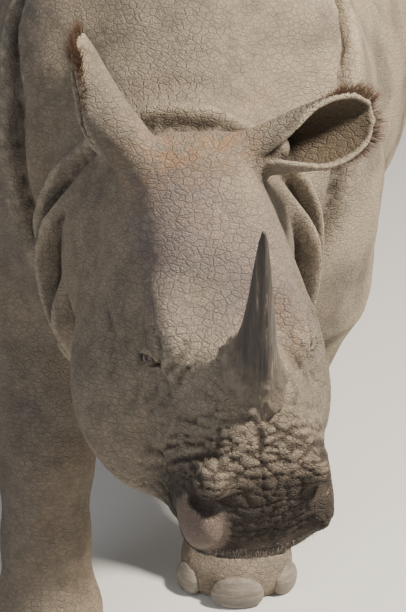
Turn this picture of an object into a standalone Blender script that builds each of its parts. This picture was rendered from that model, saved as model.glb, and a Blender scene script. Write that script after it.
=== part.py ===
"""A life-size greater one-horned rhinoceros, standing, parted where its skin folds.

Metres, +Z up, the head towards -Y and the animal's left side towards +X. The flesh is one
smooth solid, made from named sections and joints and parted by thin plane cuts; the ears,
eyes, horn, tail and nails are solids of their own, fitted to it.
"""

import math

import bmesh
import bpy
import numpy as np

GAP = 0.0003  # clearance between neighbouring solids
FLESH_CELL = 0.016  # size of the cells that turn the smooth shape into facets
EAR_CELL = 0.004
FLESH_TRIANGLES = 4500
EAR_TRIANGLES = 250
NAIL_TRIANGLES = 64
SHORTEST_EDGE = 0.0001
DETAIL_PULL = 0.02  # how strongly the detail weight holds facets in place

# Trunk and neck, as sections along Y: the heights of back and belly, and the half-width.
TRUNK_Y = (-1.32, -1.24, -1.12, -0.98, -0.82, -0.62, -0.38, -0.05, 0.27, 0.52, 0.74, 0.90, 0.99, 1.03)
TRUNK_BACK = (1.08, 1.19, 1.26, 1.34, 1.46, 1.575, 1.585, 1.51, 1.515, 1.56, 1.50, 1.38, 1.24, 1.10)
TRUNK_BELLY = (0.95, 0.82, 0.73, 0.66, 0.63, 0.61, 0.59, 0.53, 0.50, 0.52, 0.63, 0.75, 0.87, 1.00)
TRUNK_HALF = (0.06, 0.180, 0.232, 0.255, 0.30, 0.375, 0.45, 0.53, 0.55, 0.50, 0.42, 0.32, 0.19, 0.07)
TRUNK_SQUARE = 2.35  # section exponent: 2 is an ellipse, more is squarer
SHOULDER_X = -0.05  # sideways place of the chest's middle
RUMP_X = 0.0

# Muscle plates over shoulder and haunch: centre (x outwards), radii.
SHOULDER_PLATE = ((0.235, -0.60, 0.98), (0.205, 0.285, 0.46))
HAUNCH_PLATE = ((0.235, 0.80, 1.00), (0.215, 0.29, 0.46))

# Leg joints from the body down: x, y, z and the radius there.
LEG_FRONT_RIGHT = (
    (-0.30, -0.62, 0.98, 0.20),
    (-0.345, -0.66, 0.72, 0.165),
    (-0.350, -0.84, 0.49, 0.112),
    (-0.352, -0.90, 0.40, 0.103),
    (-0.355, -0.93, 0.22, 0.095),
    (-0.355, -0.945, 0.06, 0.112),
)
LEG_FRONT_LEFT = (
    (0.20, -0.60, 0.98, 0.20),
    (0.215, -0.60, 0.72, 0.165),
    (0.150, -0.66, 0.49, 0.120),
    (0.125, -0.68, 0.40, 0.113),
    (0.090, -0.70, 0.22, 0.100),
    (0.080, -0.72, 0.06, 0.118),
)
LEG_HIND_RIGHT = (
    (-0.24, 0.80, 0.98, 0.24),
    (-0.27, 0.70, 0.72, 0.200),
    (-0.25, 0.88, 0.49, 0.122),
    (-0.245, 0.94, 0.40, 0.108),
    (-0.235, 0.92, 0.22, 0.096),
    (-0.235, 0.885, 0.06, 0.112),
)
LEG_HIND_LEFT = (
    (0.24, 0.77, 0.98, 0.24),
    (0.27, 0.65, 0.72, 0.200),
    (0.25, 0.76, 0.49, 0.122),
    (0.245, 0.80, 0.40, 0.108),
    (0.235, 0.775, 0.22, 0.096),
    (0.235, 0.74, 0.06, 0.112),
)
FOOT_LENGTHEN = 0.022  # how far the foot pad reaches ahead of the leg
FOOT_HEIGHT = 0.17
TOE_TURNS = (math.radians(-62), 0.0, math.radians(62))
TOE_REACH = 0.082
TOE_RADII = (0.055, 0.055, 0.062)

# Head frame: the crown, and how the face line is turned, lowered and rolled.
CROWN = (-0.015, -1.275, 1.295)
HEAD_TURN = math.radians(14.0)
HEAD_DROP = math.radians(32.0)
HEAD_ROLL = math.radians(1.5)

# Head sections along the face line: upper and lower profile, and half-widths at three levels.
HEAD_F = (-0.10, -0.03, 0.10, 0.20, 0.30, 0.40, 0.50, 0.58, 0.64, 0.69, 0.722, 0.740)
HEAD_TOP = (-0.10, -0.012, 0.006, -0.010, -0.028, -0.028, -0.012, -0.018, -0.050, -0.10, -0.15, -0.195)
HEAD_LOW = (-0.24, -0.33, -0.375, -0.388, -0.392, -0.390, -0.368, -0.328, -0.298, -0.275, -0.25, -0.228)
HALF_UPPER = (0.09, 0.125, 0.142, 0.148, 0.142, 0.120, 0.106, 0.104, 0.112, 0.108, 0.085, 0.045)
HALF_MIDDLE = (0.11, 0.150, 0.175, 0.195, 0.208, 0.188, 0.162, 0.145, 0.142, 0.132, 0.102, 0.050)
HALF_LOWER = (0.11, 0.160, 0.205, 0.225, 0.235, 0.228, 0.185, 0.145, 0.128, 0.112, 0.088, 0.045)
HEAD_SQUARE = 3.0
BROW = ((0.355, -0.080, 0.112), (0.085, 0.048, 0.036))
CHEEK = ((0.365, -0.285, 0.112), (0.190, 0.118, 0.124))
NOSE_BOSS = ((0.510, -0.045, 0.0), (0.085, 0.045, 0.075))
NOSTRIL_WING = ((0.655, -0.125, 0.085), (0.055, 0.060, 0.045))
NOSTRIL_PIT = ((0.690, -0.150, 0.090), (0.026, 0.016, 0.022))
UPPER_LIP = ((0.690, -0.225, 0.0), (0.055, 0.042, 0.118))
CHIN = ((0.610, -0.285, 0.0), (0.085, 0.040, 0.090))
JAW_SHIFT = 0.022  # the lower jaw is drawn to the animal's right as it chews

EYE_PLACE = (0.388, -0.118)  # along and below the face line
EYE_RADIUS = 0.024
EYE_SUNK = 0.0135  # how far the eye's centre lies inside the skin

# The bib: rings of thick skin round the neck, each a lip behind a groove.
BIB_PLACES = (-1.140, -1.085, -1.020)  # Y of each ring at BIB_HEIGHT
BIB_TOPS = (0.95, 1.40, 9.0)  # angle from the throat at which each ring dies out
BIB_HEIGHT = 0.95
BIB_LIP = 0.040
BIB_REACH = 0.045
BIB_DEPTH = 0.016
BIB_WIDTH = 0.017

# Ears: base in the head frame, then the world directions of the tip and of the opening.
EAR_LENGTH = 0.245
EAR_LEFT_BASE = (0.005, -0.044, 0.115)  # in the head's own frame
EAR_RIGHT_BASE = (-0.005, -0.040, -0.105)
EAR_LEFT_TIP, EAR_LEFT_OPENING = (1.0, 0.17, 0.285), (0.10, -0.90, 0.10)
EAR_RIGHT_TIP, EAR_RIGHT_OPENING = (-0.53, 0.35, 0.755), (-1.0, -0.12, 0.0)
EAR_A = (0.00, 0.15, 0.35, 0.60, 0.80, 0.93, 1.00)  # shares of the length
EAR_RADIUS = (0.036, 0.043, 0.052, 0.060, 0.056, 0.042, 0.020)
EAR_OPENING = (12.0, 22.0, 45.0, 82.0, 98.0, 104.0, 108.0)  # half the open angle, degrees
EAR_THICK = 0.009

# Horn: heights up the axis, half-length along the face and half-width across.
HORN_F, HORN_U = 0.512, -0.040
HORN_UP = (0.0, 0.03, 0.055, 0.09, 0.14, 0.20, 0.27, 0.325, 0.345)
HORN_LONG = (0.086, 0.080, 0.067, 0.052, 0.040, 0.031, 0.020, 0.010, 0.003)
HORN_WIDE = (0.066, 0.060, 0.048, 0.037, 0.029, 0.022, 0.015, 0.008, 0.003)
HORN_BACK = 0.085  # how far the tip leans towards the crown
HORN_ASIDE = 0.022  # and to the animal's right
HORN_SIDES = 14

TAIL_JOINTS = (
    (0.0, 0.985, 1.200, 0.050),
    (0.0, 1.045, 1.080, 0.043),
    (0.0, 1.060, 0.900, 0.033),
    (0.0, 1.058, 0.740, 0.026),
    (0.0, 1.052, 0.640, 0.022),
)
NAIL_RADII = ((0.044, 0.026, 0.042), (0.062, 0.028, 0.046), (0.044, 0.026, 0.042))
NAIL_HEIGHT = 0.030
NAIL_CLEAR = 0.003  # height of the nails' lower edge above the floor

# Planes that part the flesh, each a point and a direction in Y and Z.
NECK_CUT = ((-1.16, 0.95), (1.0, 0.16))
SHOULDER_CUT = ((-0.908, 0.90), (1.0, -0.36))
BARREL_CUT = ((-0.27, 1.10), (1.0, -0.14))
RUMP_CUT = ((0.44, 1.10), (1.0, 0.10))
FORE_LEG_CUT = ((-0.60, 0.555), (0.0, -1.0))
HIND_LEG_CUT = ((0.50, 0.490), (0.50, -1.0))
FOOT_CUT = ((0.0, 0.155), (0.0, -1.0))

SKIN_COLOUR = (0.335, 0.290, 0.235, 1.0)
HORN_COLOUR = (0.085, 0.070, 0.058, 1.0)
NAIL_COLOUR = (0.160, 0.135, 0.105, 1.0)
EYE_COLOUR = (0.022, 0.014, 0.010, 1.0)


def curve(t, knots, values):
    """A smooth curve through the values at the knots, level beyond its ends."""
    knots = np.array(knots, float)
    values = np.array(values, float)
    slopes = np.gradient(values, knots)
    fine = np.linspace(knots[0], knots[-1], 600)
    i = np.clip(np.searchsorted(knots, fine, side="right") - 1, 0, len(knots) - 2)
    width = knots[i + 1] - knots[i]
    u = (fine - knots[i]) / width
    table = (1 + 2 * u) * (1 - u) ** 2 * values[i] + u**2 * (3 - 2 * u) * values[i + 1]
    table += width * (u * (1 - u) ** 2 * slopes[i] + u**2 * (u - 1) * slopes[i + 1])
    return np.interp(t, fine, table)


def smooth_step(t, low, high):
    t = np.clip((t - low) / (high - low), 0, 1)
    return t * t * (3 - 2 * t)


def bell(t, width):
    return np.exp(-((t / width) ** 2))


def join(a, b, blend):
    """Union of two solids, rounded over the blend width."""
    h = np.clip(0.5 + 0.5 * (b - a) / blend, 0, 1)
    return b * (1 - h) + a * h - blend * h * (1 - h)


def carve(a, b, blend):
    """The first solid less the second, with a rounded edge."""
    return -join(-a, b, blend)


def ellipsoid(p, centre, radii):
    offset = (p - np.array(centre)) / np.array(radii)
    near = np.linalg.norm(offset, axis=1)
    steep = np.linalg.norm(offset / np.array(radii), axis=1)
    return near * (near - 1) / np.maximum(steep, 1e-9)


def tapered(p, start, end):
    """A rounded bar between two (x, y, z, radius) ends."""
    a, b = np.array(start[:3]), np.array(end[:3])
    along = np.clip((p - a) @ (b - a) / ((b - a) @ (b - a)), 0, 1)
    centre = a + along[:, None] * (b - a)
    radius = start[3] + (end[3] - start[3]) * along
    return np.linalg.norm(p - centre, axis=1) - radius


def oval_section(side, half, up, middle, height, square):
    """Distance from a squared oval section, taken in its own plane."""
    a = np.abs(side) / half
    b = np.abs(up - middle) / height
    r = np.maximum((a**square + b**square) ** (1 / square), 1e-6)
    slope_a = (a / r) ** (square - 1) / half
    slope_b = (b / r) ** (square - 1) / height
    return (r - 1) / np.maximum(np.hypot(slope_a, slope_b), 1e-6)


def outward(p):
    """The points with their X measured outwards from the middle of the body."""
    middle = SHOULDER_X + (RUMP_X - SHOULDER_X) * smooth_step(p[:, 1], -0.7, 0.3)
    out = p.copy()
    out[:, 0] = np.abs(p[:, 0] - middle)
    return out


def trunk(p):
    q = outward(p)
    back = curve(q[:, 1], TRUNK_Y, TRUNK_BACK)
    belly = curve(q[:, 1], TRUNK_Y, TRUNK_BELLY)
    half = curve(q[:, 1], TRUNK_Y, TRUNK_HALF)
    middle = (back + belly) / 2
    # The flank is widest below the middle, and the back is a rounded ridge.
    half = half * (1 - 0.16 * smooth_step(q[:, 2], 0.95, 1.6))
    d = oval_section(q[:, 0], half, q[:, 2], middle, (back - belly) / 2, TRUNK_SQUARE)
    ends = np.maximum(TRUNK_Y[0] - q[:, 1], q[:, 1] - TRUNK_Y[-1])
    d = np.maximum(d, ends)
    d = join(d, ellipsoid(q, *SHOULDER_PLATE), 0.10)
    d = join(d, ellipsoid(q, *HAUNCH_PLATE), 0.10)
    return d - trunk_folds(q) - bib_rolls(q)


def fold(sheet, lip, reach, depth, width):
    """Rise of the skin beside a fold: a groove on the sheet, and a lip on its + side."""
    rise = lip * smooth_step(sheet, 0, width) * np.exp(-np.maximum(sheet, 0) / reach)
    return rise - depth * bell(sheet, width)


def trunk_folds(q):
    x, y, z = q.T
    behind_shoulder = -(y + 0.27 + 0.14 * (1.1 - z) - 0.10 * (z - 1.1) ** 2)
    before_rump = y - 0.44 - 0.10 * (1.1 - z)
    before_shoulder = y + 0.98 - 0.36 * (z - 0.70) - 0.18 * smooth_step(z, 1.2, 1.5)
    above_fore = z - 0.645 - 0.06 * (y + 0.6)
    above_hind = z - 0.76 + 0.30 * (y - 0.80)
    across_haunch = 1.20 - z - 0.20 * (1.0 - y)
    low = 1 - smooth_step(z, 0.62, 0.56)
    rise = fold(behind_shoulder, 0.022, 0.10, 0.030, 0.028) * low
    rise += fold(before_rump, 0.022, 0.10, 0.030, 0.028) * low
    side = smooth_step(x, 0.10, 0.22) * smooth_step(z, 0.62, 0.72)
    rise += fold(before_shoulder, 0.020, 0.08, 0.024, 0.026) * side * smooth_step(y, -0.25, -0.45)
    fore = smooth_step(y, -0.28, -0.36) * smooth_step(x, 0.12, 0.24)
    rise += fold(above_fore, 0.030, 0.10, 0.020, 0.026) * fore
    hind = smooth_step(y, 0.46, 0.56) * smooth_step(x, 0.12, 0.24)
    rise += fold(above_hind, 0.026, 0.10, 0.020, 0.026) * hind
    haunch = smooth_step(y, 0.72, 0.90) * smooth_step(x, 0.05, 0.12)
    rise += fold(across_haunch, 0.012, 0.08, 0.018, 0.024) * haunch
    tail_groove = bell(x, 0.055) * smooth_step(y, 0.95, 1.05) * smooth_step(z, 0.7, 0.85)
    return rise - 0.030 * tail_groove


def leg(p, joints):
    """A leg as a chain of rounded bars, ending in a broad pad with three toes."""
    d = tapered(p, joints[0], joints[1])
    for upper, lower in zip(joints[1:-1], joints[2:]):
        d = join(d, tapered(p, upper, lower), 0.035)
    x, y, z, radius = joints[-1]
    pad = ellipsoid(p, (x, y - FOOT_LENGTHEN, 0.045), (radius * 1.08, radius * 1.10, 0.095))
    d = join(d, pad, 0.04)
    for turn in TOE_TURNS:
        toe = (x + TOE_REACH * math.sin(turn), y - FOOT_LENGTHEN - TOE_REACH * math.cos(turn), 0.04)
        d = join(d, ellipsoid(p, toe, TOE_RADII), 0.02)
    return d


def bib_rolls(q):
    """Rise of the lips that ring the neck behind the jaw, the rearmost one over the nape."""
    x, y, z = q.T
    around = np.arctan2(x, BIB_HEIGHT - z)  # 0 at the throat, pi at the nape
    rise = np.zeros(len(q))
    for place, top in zip(BIB_PLACES, BIB_TOPS):
        sheet = y - place - 0.10 * (BIB_HEIGHT - z)
        fade = 1 - smooth_step(around, 1.2 * top, 1.7 * top)
        fade *= 1 - 0.5 * smooth_step(around, 1.8, 2.6)
        rise += fold(sheet, BIB_LIP, BIB_REACH, BIB_DEPTH, BIB_WIDTH) * fade
    return rise * smooth_step(-y, 0.75, 0.90)


def head_axes():
    """World directions of the head: along the face, up from it, and to its left."""
    turn, drop, roll = HEAD_TURN, HEAD_DROP, HEAD_ROLL
    ahead = np.array((math.sin(turn), -math.cos(turn), 0))
    left = np.array((math.cos(turn), math.sin(turn), 0))
    face = ahead * math.cos(drop) - np.array((0, 0, math.sin(drop)))
    up = ahead * math.sin(drop) + np.array((0, 0, math.cos(drop)))
    return np.array((face, up * math.cos(roll) + left * math.sin(roll), left * math.cos(roll) - up * math.sin(roll)))


def to_head(p):
    return (p - np.array(CROWN)) @ head_axes().T


def from_head(h):
    return np.array(h) @ head_axes() + np.array(CROWN)


def head(p):
    h = to_head(p)
    f, u, s = h.T
    s = np.abs(s + JAW_SHIFT * smooth_step(-u, 0.16, 0.32))
    top = curve(f, HEAD_F, HEAD_TOP)
    low = curve(f, HEAD_F, HEAD_LOW)
    level = np.clip((u - low) / (top - low), 0, 1)
    upper, middle, lower = (curve(f, HEAD_F, half) for half in (HALF_UPPER, HALF_MIDDLE, HALF_LOWER))
    half = lower + (middle - lower) * smooth_step(level, 0.15, 0.55)
    half = half + (upper - middle) * smooth_step(level, 0.50, 0.92)
    d = oval_section(s, half, u, (top + low) / 2, (top - low) / 2, HEAD_SQUARE)
    d = np.maximum(d, np.maximum(HEAD_F[0] - f, f - HEAD_F[-1]))
    h = np.stack((f, u, s), axis=1)
    d = join(d, ellipsoid(h, *BROW), 0.05)
    d = join(d, ellipsoid(h, *CHEEK), 0.05)
    d = join(d, ellipsoid(h, *NOSE_BOSS), 0.03)
    d = join(d, ellipsoid(h, *NOSTRIL_WING), 0.03)
    d = join(d, ellipsoid(h, *UPPER_LIP), 0.03)
    d = join(d, ellipsoid(h, *CHIN), 0.03)
    return carve(d, ellipsoid(h, *NOSTRIL_PIT), 0.015)


def flesh(p):
    """Distance from the skin of the whole animal, without ears, tail and nails."""
    d = trunk(p)
    for joints in (LEG_FRONT_LEFT, LEG_FRONT_RIGHT, LEG_HIND_LEFT, LEG_HIND_RIGHT):
        d = join(d, leg(p, joints), 0.03)
    return np.maximum(join(d, head(p), 0.03), -p[:, 2])


def pinched_patterns():
    """Which of a cell's 256 patterns of inside corners hold more than one sheet."""
    ends = [(i, i ^ bit) for i in range(8) for bit in (1, 2, 4) if i < i ^ bit]
    pinched = []
    for pattern in range(256):
        group = list(range(8))
        for i, j in ends:
            if (pattern >> i & 1) == (pattern >> j & 1):
                group = [group[i] if g == group[j] else g for g in group]
        pinched.append(len(set(group)) > 2)
    return np.array(pinched)


def without_pinches(at_spots, inverse, cell):
    """The corner values with the slightest one turned over wherever two sheets share a cell."""
    pinched = pinched_patterns()
    for _ in range(60):
        value = at_spots[inverse]
        bad = np.flatnonzero(pinched[((value < 0) << np.arange(8)).sum(1)])
        if not len(bad):
            break
        turned = inverse[bad, np.abs(value[bad]).argmin(1)]
        at_spots[turned] = np.where(at_spots[turned] < 0, 0.1, -0.1) * cell
    return at_spots


def facets(distance, low, high, cell, halvings=4):
    """Points and quads where the distance is nought, from cells that straddle the surface."""
    cube = np.array([(i, j, k) for i in (0, 1) for j in (0, 1) for k in (0, 1)])
    low = np.array(low, float)
    counts = np.ceil((np.array(high) - low) / (cell * 2**halvings)).astype(int)
    cells = np.stack(np.meshgrid(*map(np.arange, counts), indexing="ij"), -1).reshape(-1, 3)
    span = 1 << 20

    def key(lattice):
        return (lattice[..., 0] * span + lattice[..., 1]) * span + lattice[..., 2]

    for halving in range(halvings, -1, -1):
        size = cell * 2**halving
        corners = cells[:, None] + cube
        keys, first, inverse = np.unique(key(corners), return_index=True, return_inverse=True)
        inverse = inverse.reshape(-1, 8)
        spots = corners.reshape(-1, 3)[first]
        at_spots = distance(low + spots * size)
        value = at_spots[inverse]
        if halving:
            near = np.abs(value).min(1) < 1.4 * size
            near |= (value.min(1) < 0) & (value.max(1) > 0)
            cells = (2 * cells[near][:, None] + cube).reshape(-1, 3)
    value = without_pinches(at_spots, inverse, cell)[inverse]
    crossed = (value.min(1) < 0) & (value.max(1) >= 0)
    cells, value = cells[crossed], value[crossed]
    total, count = np.zeros((len(cells), 3)), np.zeros(len(cells))
    for axis in range(3):
        for i in np.flatnonzero(cube[:, axis] == 0):
            j = i + (4, 2, 1)[axis]
            va, vb = value[:, i], value[:, j]
            cut = (va < 0) != (vb < 0)
            t = np.where(cut, va / np.where(cut, va - vb, 1), 0)
            spot = cube[i] + t[:, None] * (cube[j] - cube[i])
            total += spot * cut[:, None]
            count += cut
    points = low + (cells + total / count[:, None]) * cell
    keys = key(cells)
    order = np.argsort(keys)
    quads = []
    for axis in range(3):
        steps = np.zeros((2, 3), int)
        steps[0, (axis + 1) % 3] = 1
        steps[1, (axis + 2) % 3] = 1
        start, end = value[:, 0] < 0, value[:, (4, 2, 1)[axis]] < 0
        at = np.flatnonzero(start != end)
        ring = [cells[at], cells[at] - steps[0], cells[at] - steps[0] - steps[1], cells[at] - steps[1]]
        quad = np.stack([order[np.searchsorted(keys[order], key(c))] for c in ring], 1)
        inside = start[at]
        quad[~inside] = quad[~inside][:, ::-1]
        quads.append(quad)
    return points, np.concatenate(quads)


def drawn_in(points, distance, rounds=3):
    """The points moved onto the surface along the distance's slope."""
    nudge = 1e-4 * np.eye(3)
    for _ in range(rounds):
        d = distance(points)
        slope = np.stack([distance(points + n) - d for n in nudge], 1) / 1e-4
        steep = np.maximum((slope**2).sum(1), 0.2)
        points = points - (d / steep).clip(-0.004, 0.004)[:, None] * slope
    return points


def unit(v):
    return np.array(v) / np.linalg.norm(v)


def ear(p, base, tip, opening):
    """A cupped leaf: a thin sheet bent round the ear's axis, closed below and open above."""
    axis = unit(tip)
    front = unit(np.array(opening) - axis * (axis @ np.array(opening)))
    side = np.cross(axis, front)
    q = p - base
    along = q @ axis
    a = np.clip(along / EAR_LENGTH, 0, 1)
    radius = curve(a, EAR_A, EAR_RADIUS)
    gape = np.radians(curve(a, EAR_A, EAR_OPENING))
    b = q @ front - (radius - EAR_RADIUS[0])
    c = np.abs(q @ side)
    angle = np.arctan2(c, b)
    rim = np.hypot(b - radius * np.cos(gape), c - radius * np.sin(gape))
    d = np.where(angle > gape, np.abs(np.hypot(b, c) - radius), rim)
    beyond = np.maximum(np.abs(along - EAR_LENGTH / 2) - EAR_LENGTH / 2, 0)
    return np.hypot(d, beyond) - EAR_THICK / 2 * (1.15 - 0.4 * a)


def new_object(name, points, faces, material):
    mesh = bpy.data.meshes.new(name)
    mesh.from_pydata([tuple(p) for p in points], [], [tuple(f) for f in faces])
    mesh.materials.append(material)
    mesh.update()
    made = bpy.data.objects.new(name, mesh)
    bpy.context.scene.collection.objects.link(made)
    return made


def new_material(name, colour, roughness):
    material = bpy.data.materials.new(name)
    material.use_nodes = True
    shader = material.node_tree.nodes["Principled BSDF"]
    shader.inputs["Base Color"].default_value = colour
    shader.inputs["Roughness"].default_value = roughness
    return material


def thinned(obj, triangles, detail=None):
    """The object's mesh with fewer facets, kept densest where the detail weight is high."""
    weigh = obj.modifiers.new("Fewer", "DECIMATE")
    obj.data.calc_loop_triangles()
    weigh.ratio = triangles / len(obj.data.loop_triangles)
    weigh.use_collapse_triangulate = True
    if detail is not None:
        group = obj.vertex_groups.new(name="detail")
        for step in range(1, 11):
            chosen = np.flatnonzero(np.round(detail * 10) == step)
            group.add([int(i) for i in chosen], step / 10, "REPLACE")
        weigh.vertex_group = "detail"
        weigh.vertex_group_factor = DETAIL_PULL
        weigh.invert_vertex_group = True
    replace_by_result(obj)


def replace_by_result(obj):
    """The object's modifiers applied, leaving a plain triangle mesh."""
    graph = bpy.context.evaluated_depsgraph_get()
    graph.update()
    result = bpy.data.meshes.new_from_object(obj.evaluated_get(graph))
    obj.modifiers.clear()
    old, obj.data = obj.data, result
    bpy.data.meshes.remove(old)
    mesh = bmesh.new()
    mesh.from_mesh(obj.data)
    bmesh.ops.triangulate(mesh, faces=mesh.faces)
    mesh.to_mesh(obj.data)
    mesh.free()


def cut_from(obj, cutter):
    """Takes the cutter's shape out of the object."""
    cut = obj.modifiers.new("Fit", "BOOLEAN")
    cut.operation = "DIFFERENCE"
    cut.solver = "EXACT"
    cut.object = cutter
    replace_by_result(obj)


def fattened(obj, name):
    """A hidden copy of the object, grown by the clearance, to cut its neighbours with."""
    mesh = obj.data.copy()
    grown = [v.co + v.normal * GAP * 1.3 for v in mesh.vertices]
    for vertex, place in zip(mesh.vertices, grown):
        vertex.co = place
    cutter = bpy.data.objects.new(name, mesh)
    bpy.context.scene.collection.objects.link(cutter)
    cutter.hide_render = True
    cutter.display_type = "WIRE"
    return cutter


def parted(whole, name, cuts, side=0):
    """The piece of the whole on the kept side of each plane; side picks left or right."""
    mesh = bmesh.new()
    mesh.from_mesh(whole.data)
    for (place, facing), keep in cuts:
        normal = np.array((0.0, *unit(facing))) * keep
        point = np.array((0.0, *place)) + normal * GAP / 2
        geometry = mesh.verts[:] + mesh.edges[:] + mesh.faces[:]
        cut = bmesh.ops.bisect_plane(
            mesh, geom=geometry, dist=1e-6, plane_co=point, plane_no=normal, clear_inner=True
        )
        rim = [e for e in cut["geom_cut"] if isinstance(e, bmesh.types.BMEdge)]
        caps = bmesh.ops.holes_fill(mesh, edges=rim, sides=0)
        bmesh.ops.triangulate(mesh, faces=caps["faces"])
    if side:
        drop_other_side(mesh, side)
    bmesh.ops.dissolve_degenerate(mesh, dist=SHORTEST_EDGE, edges=mesh.edges)
    bmesh.ops.triangulate(mesh, faces=mesh.faces)
    bmesh.ops.recalc_face_normals(mesh, faces=mesh.faces)
    piece = bpy.data.meshes.new(name)
    mesh.to_mesh(piece)
    piece.materials.append(whole.data.materials[0])
    mesh.free()
    made = bpy.data.objects.new(name, piece)
    bpy.context.scene.collection.objects.link(made)
    return made


def drop_other_side(mesh, side):
    """Leaves the loose piece whose middle lies on the given side of the body."""
    waiting = set(mesh.verts)
    while waiting:
        island, front = set(), [waiting.pop()]
        while front:
            vertex = front.pop()
            island.add(vertex)
            for edge in vertex.link_edges:
                other = edge.other_vert(vertex)
                if other in waiting:
                    waiting.remove(other)
                    front.append(other)
        middle = sum(v.co.x for v in island) / len(island) - SHOULDER_X
        if middle * side < 0:
            bmesh.ops.delete(mesh, geom=list(island), context="VERTS")


def detail_weight(points):
    """How finely each part of the flesh is kept: the head most, then the neck and the feet."""
    f, u, s = to_head(points).T
    weight = 0.10 + 0.15 * smooth_step(-points[:, 1], 0.3, 0.8)
    weight = np.maximum(weight, 0.6 * smooth_step(f, -0.10, 0.05))
    weight = np.maximum(weight, 0.9 * smooth_step(f, 0.30, 0.42))
    return np.maximum(weight, 0.25 * smooth_step(-points[:, 2], -0.25, -0.12))


def make_flesh(material):
    points, quads = facets(flesh, (-0.75, -2.15, -0.10), (0.75, 1.35, 1.80), FLESH_CELL)
    points = drawn_in(points, flesh)
    points[:, 2] = np.where(points[:, 2] < FLESH_CELL / 4, 0.0, points[:, 2])
    whole = new_object("flesh", points, quads, material)
    places = np.array([v.co for v in whole.data.vertices])
    thinned(whole, FLESH_TRIANGLES, detail_weight(places))
    return whole


def make_horn(material):
    """The horn: oval rings up a leaning axis, closed by a flat base and a small tip."""
    points = []
    steps = np.linspace(0, 2 * math.pi, HORN_SIDES, endpoint=False)
    for up, long, wide in zip(HORN_UP, HORN_LONG, HORN_WIDE):
        lean = (up / HORN_UP[-1]) ** 1.4
        for angle in steps:
            f = HORN_F - HORN_BACK * lean + long * math.cos(angle)
            s = -HORN_ASIDE * lean + wide * math.sin(angle)
            points.append(from_head((f, HORN_U + up, s)))
    faces = [tuple(range(HORN_SIDES))[::-1]]
    rings = len(HORN_UP)
    for ring in range(rings - 1):
        for i in range(HORN_SIDES):
            j = (i + 1) % HORN_SIDES
            a, b = ring * HORN_SIDES, (ring + 1) * HORN_SIDES
            faces.append((a + i, a + j, b + j, b + i))
    faces.append(tuple(range((rings - 1) * HORN_SIDES, rings * HORN_SIDES)))
    return new_object("horn", points, faces, material)


def ball(name, centre, radii, material):
    """An oval ball of facets."""
    mesh = bmesh.new()
    bmesh.ops.create_icosphere(mesh, subdivisions=2, radius=1.0)
    for vertex in mesh.verts:
        vertex.co = [c + v * r for c, v, r in zip(centre, vertex.co, radii)]
    points = [v.co[:] for v in mesh.verts]
    faces = [[v.index for v in f.verts] for f in mesh.faces]
    mesh.free()
    return new_object(name, points, faces, material)


def eye_centre(side):
    """Where the eyeball sits: in from the skin beside the named place."""
    s = np.linspace(0.05, 0.30, 501)
    line = from_head(np.stack((np.full(501, EYE_PLACE[0]), np.full(501, EYE_PLACE[1]), side * s), 1))
    outside = np.flatnonzero(head(line) > 0)[0]
    return from_head((EYE_PLACE[0], EYE_PLACE[1], side * (s[outside] - EYE_SUNK)))


def make_shell(name, distance, centre, reach, cell, triangles, material):
    """A solid of its own from its distance, thinned."""
    centre, reach = np.array(centre), np.array(reach)
    points, quads = facets(distance, centre - reach, centre + reach, cell)
    points = drawn_in(points, distance)
    made = new_object(name, points, quads, material)
    thinned(made, triangles)
    return made


def tail(p):
    d = tapered(p, TAIL_JOINTS[0], TAIL_JOINTS[1])
    for upper, lower in zip(TAIL_JOINTS[1:-1], TAIL_JOINTS[2:]):
        d = join(d, tapered(p, upper, lower), 0.02)
    return d


def trimmed_below(obj, height):
    """The object cut level at a height, keeping what is above."""
    mesh = bmesh.new()
    mesh.from_mesh(obj.data)
    cut = bmesh.ops.bisect_plane(
        mesh,
        geom=mesh.verts[:] + mesh.edges[:] + mesh.faces[:],
        dist=1e-6,
        plane_co=(0, 0, height),
        plane_no=(0, 0, 1),
        clear_inner=True,
    )
    rim = [e for e in cut["geom_cut"] if isinstance(e, bmesh.types.BMEdge)]
    bmesh.ops.holes_fill(mesh, edges=rim, sides=0)
    bmesh.ops.triangulate(mesh, faces=mesh.faces)
    mesh.to_mesh(obj.data)
    mesh.free()


def make_nails(foot_name, joints, foot_cutter, material):
    x, y = joints[-1][:2]
    for name, turn, radii in zip(("inner", "middle", "outer"), TOE_TURNS, NAIL_RADII):
        reach = TOE_REACH + TOE_RADII[1] - 0.010
        place = (
            x + reach * math.sin(turn),
            y - FOOT_LENGTHEN - reach * math.cos(turn),
            NAIL_HEIGHT,
        )
        nail = ball(f"nail_{foot_name}_{name}", (0, 0, 0), radii, material)
        for vertex in nail.data.vertices:
            vx, vy, vz = vertex.co
            vertex.co = (
                place[0] + vx * math.cos(turn) - vy * math.sin(turn),
                place[1] + vx * math.sin(turn) + vy * math.cos(turn),
                place[2] + vz,
            )
        trimmed_below(nail, NAIL_CLEAR)
        thinned(nail, NAIL_TRIANGLES)
        cut_from(nail, foot_cutter)


def settle():
    """Moves everything so that the origin lies on the floor under the middle of the animal."""
    made = [o for o in bpy.data.objects if o.type == "MESH" and not o.hide_render]
    points = np.concatenate([[v.co[:] for v in o.data.vertices] for o in made])
    middle = (points.min(0) + points.max(0)) / 2
    for obj in bpy.data.objects:
        for vertex in obj.data.vertices:
            vertex.co.x -= middle[0]
            vertex.co.y -= middle[1]


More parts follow.
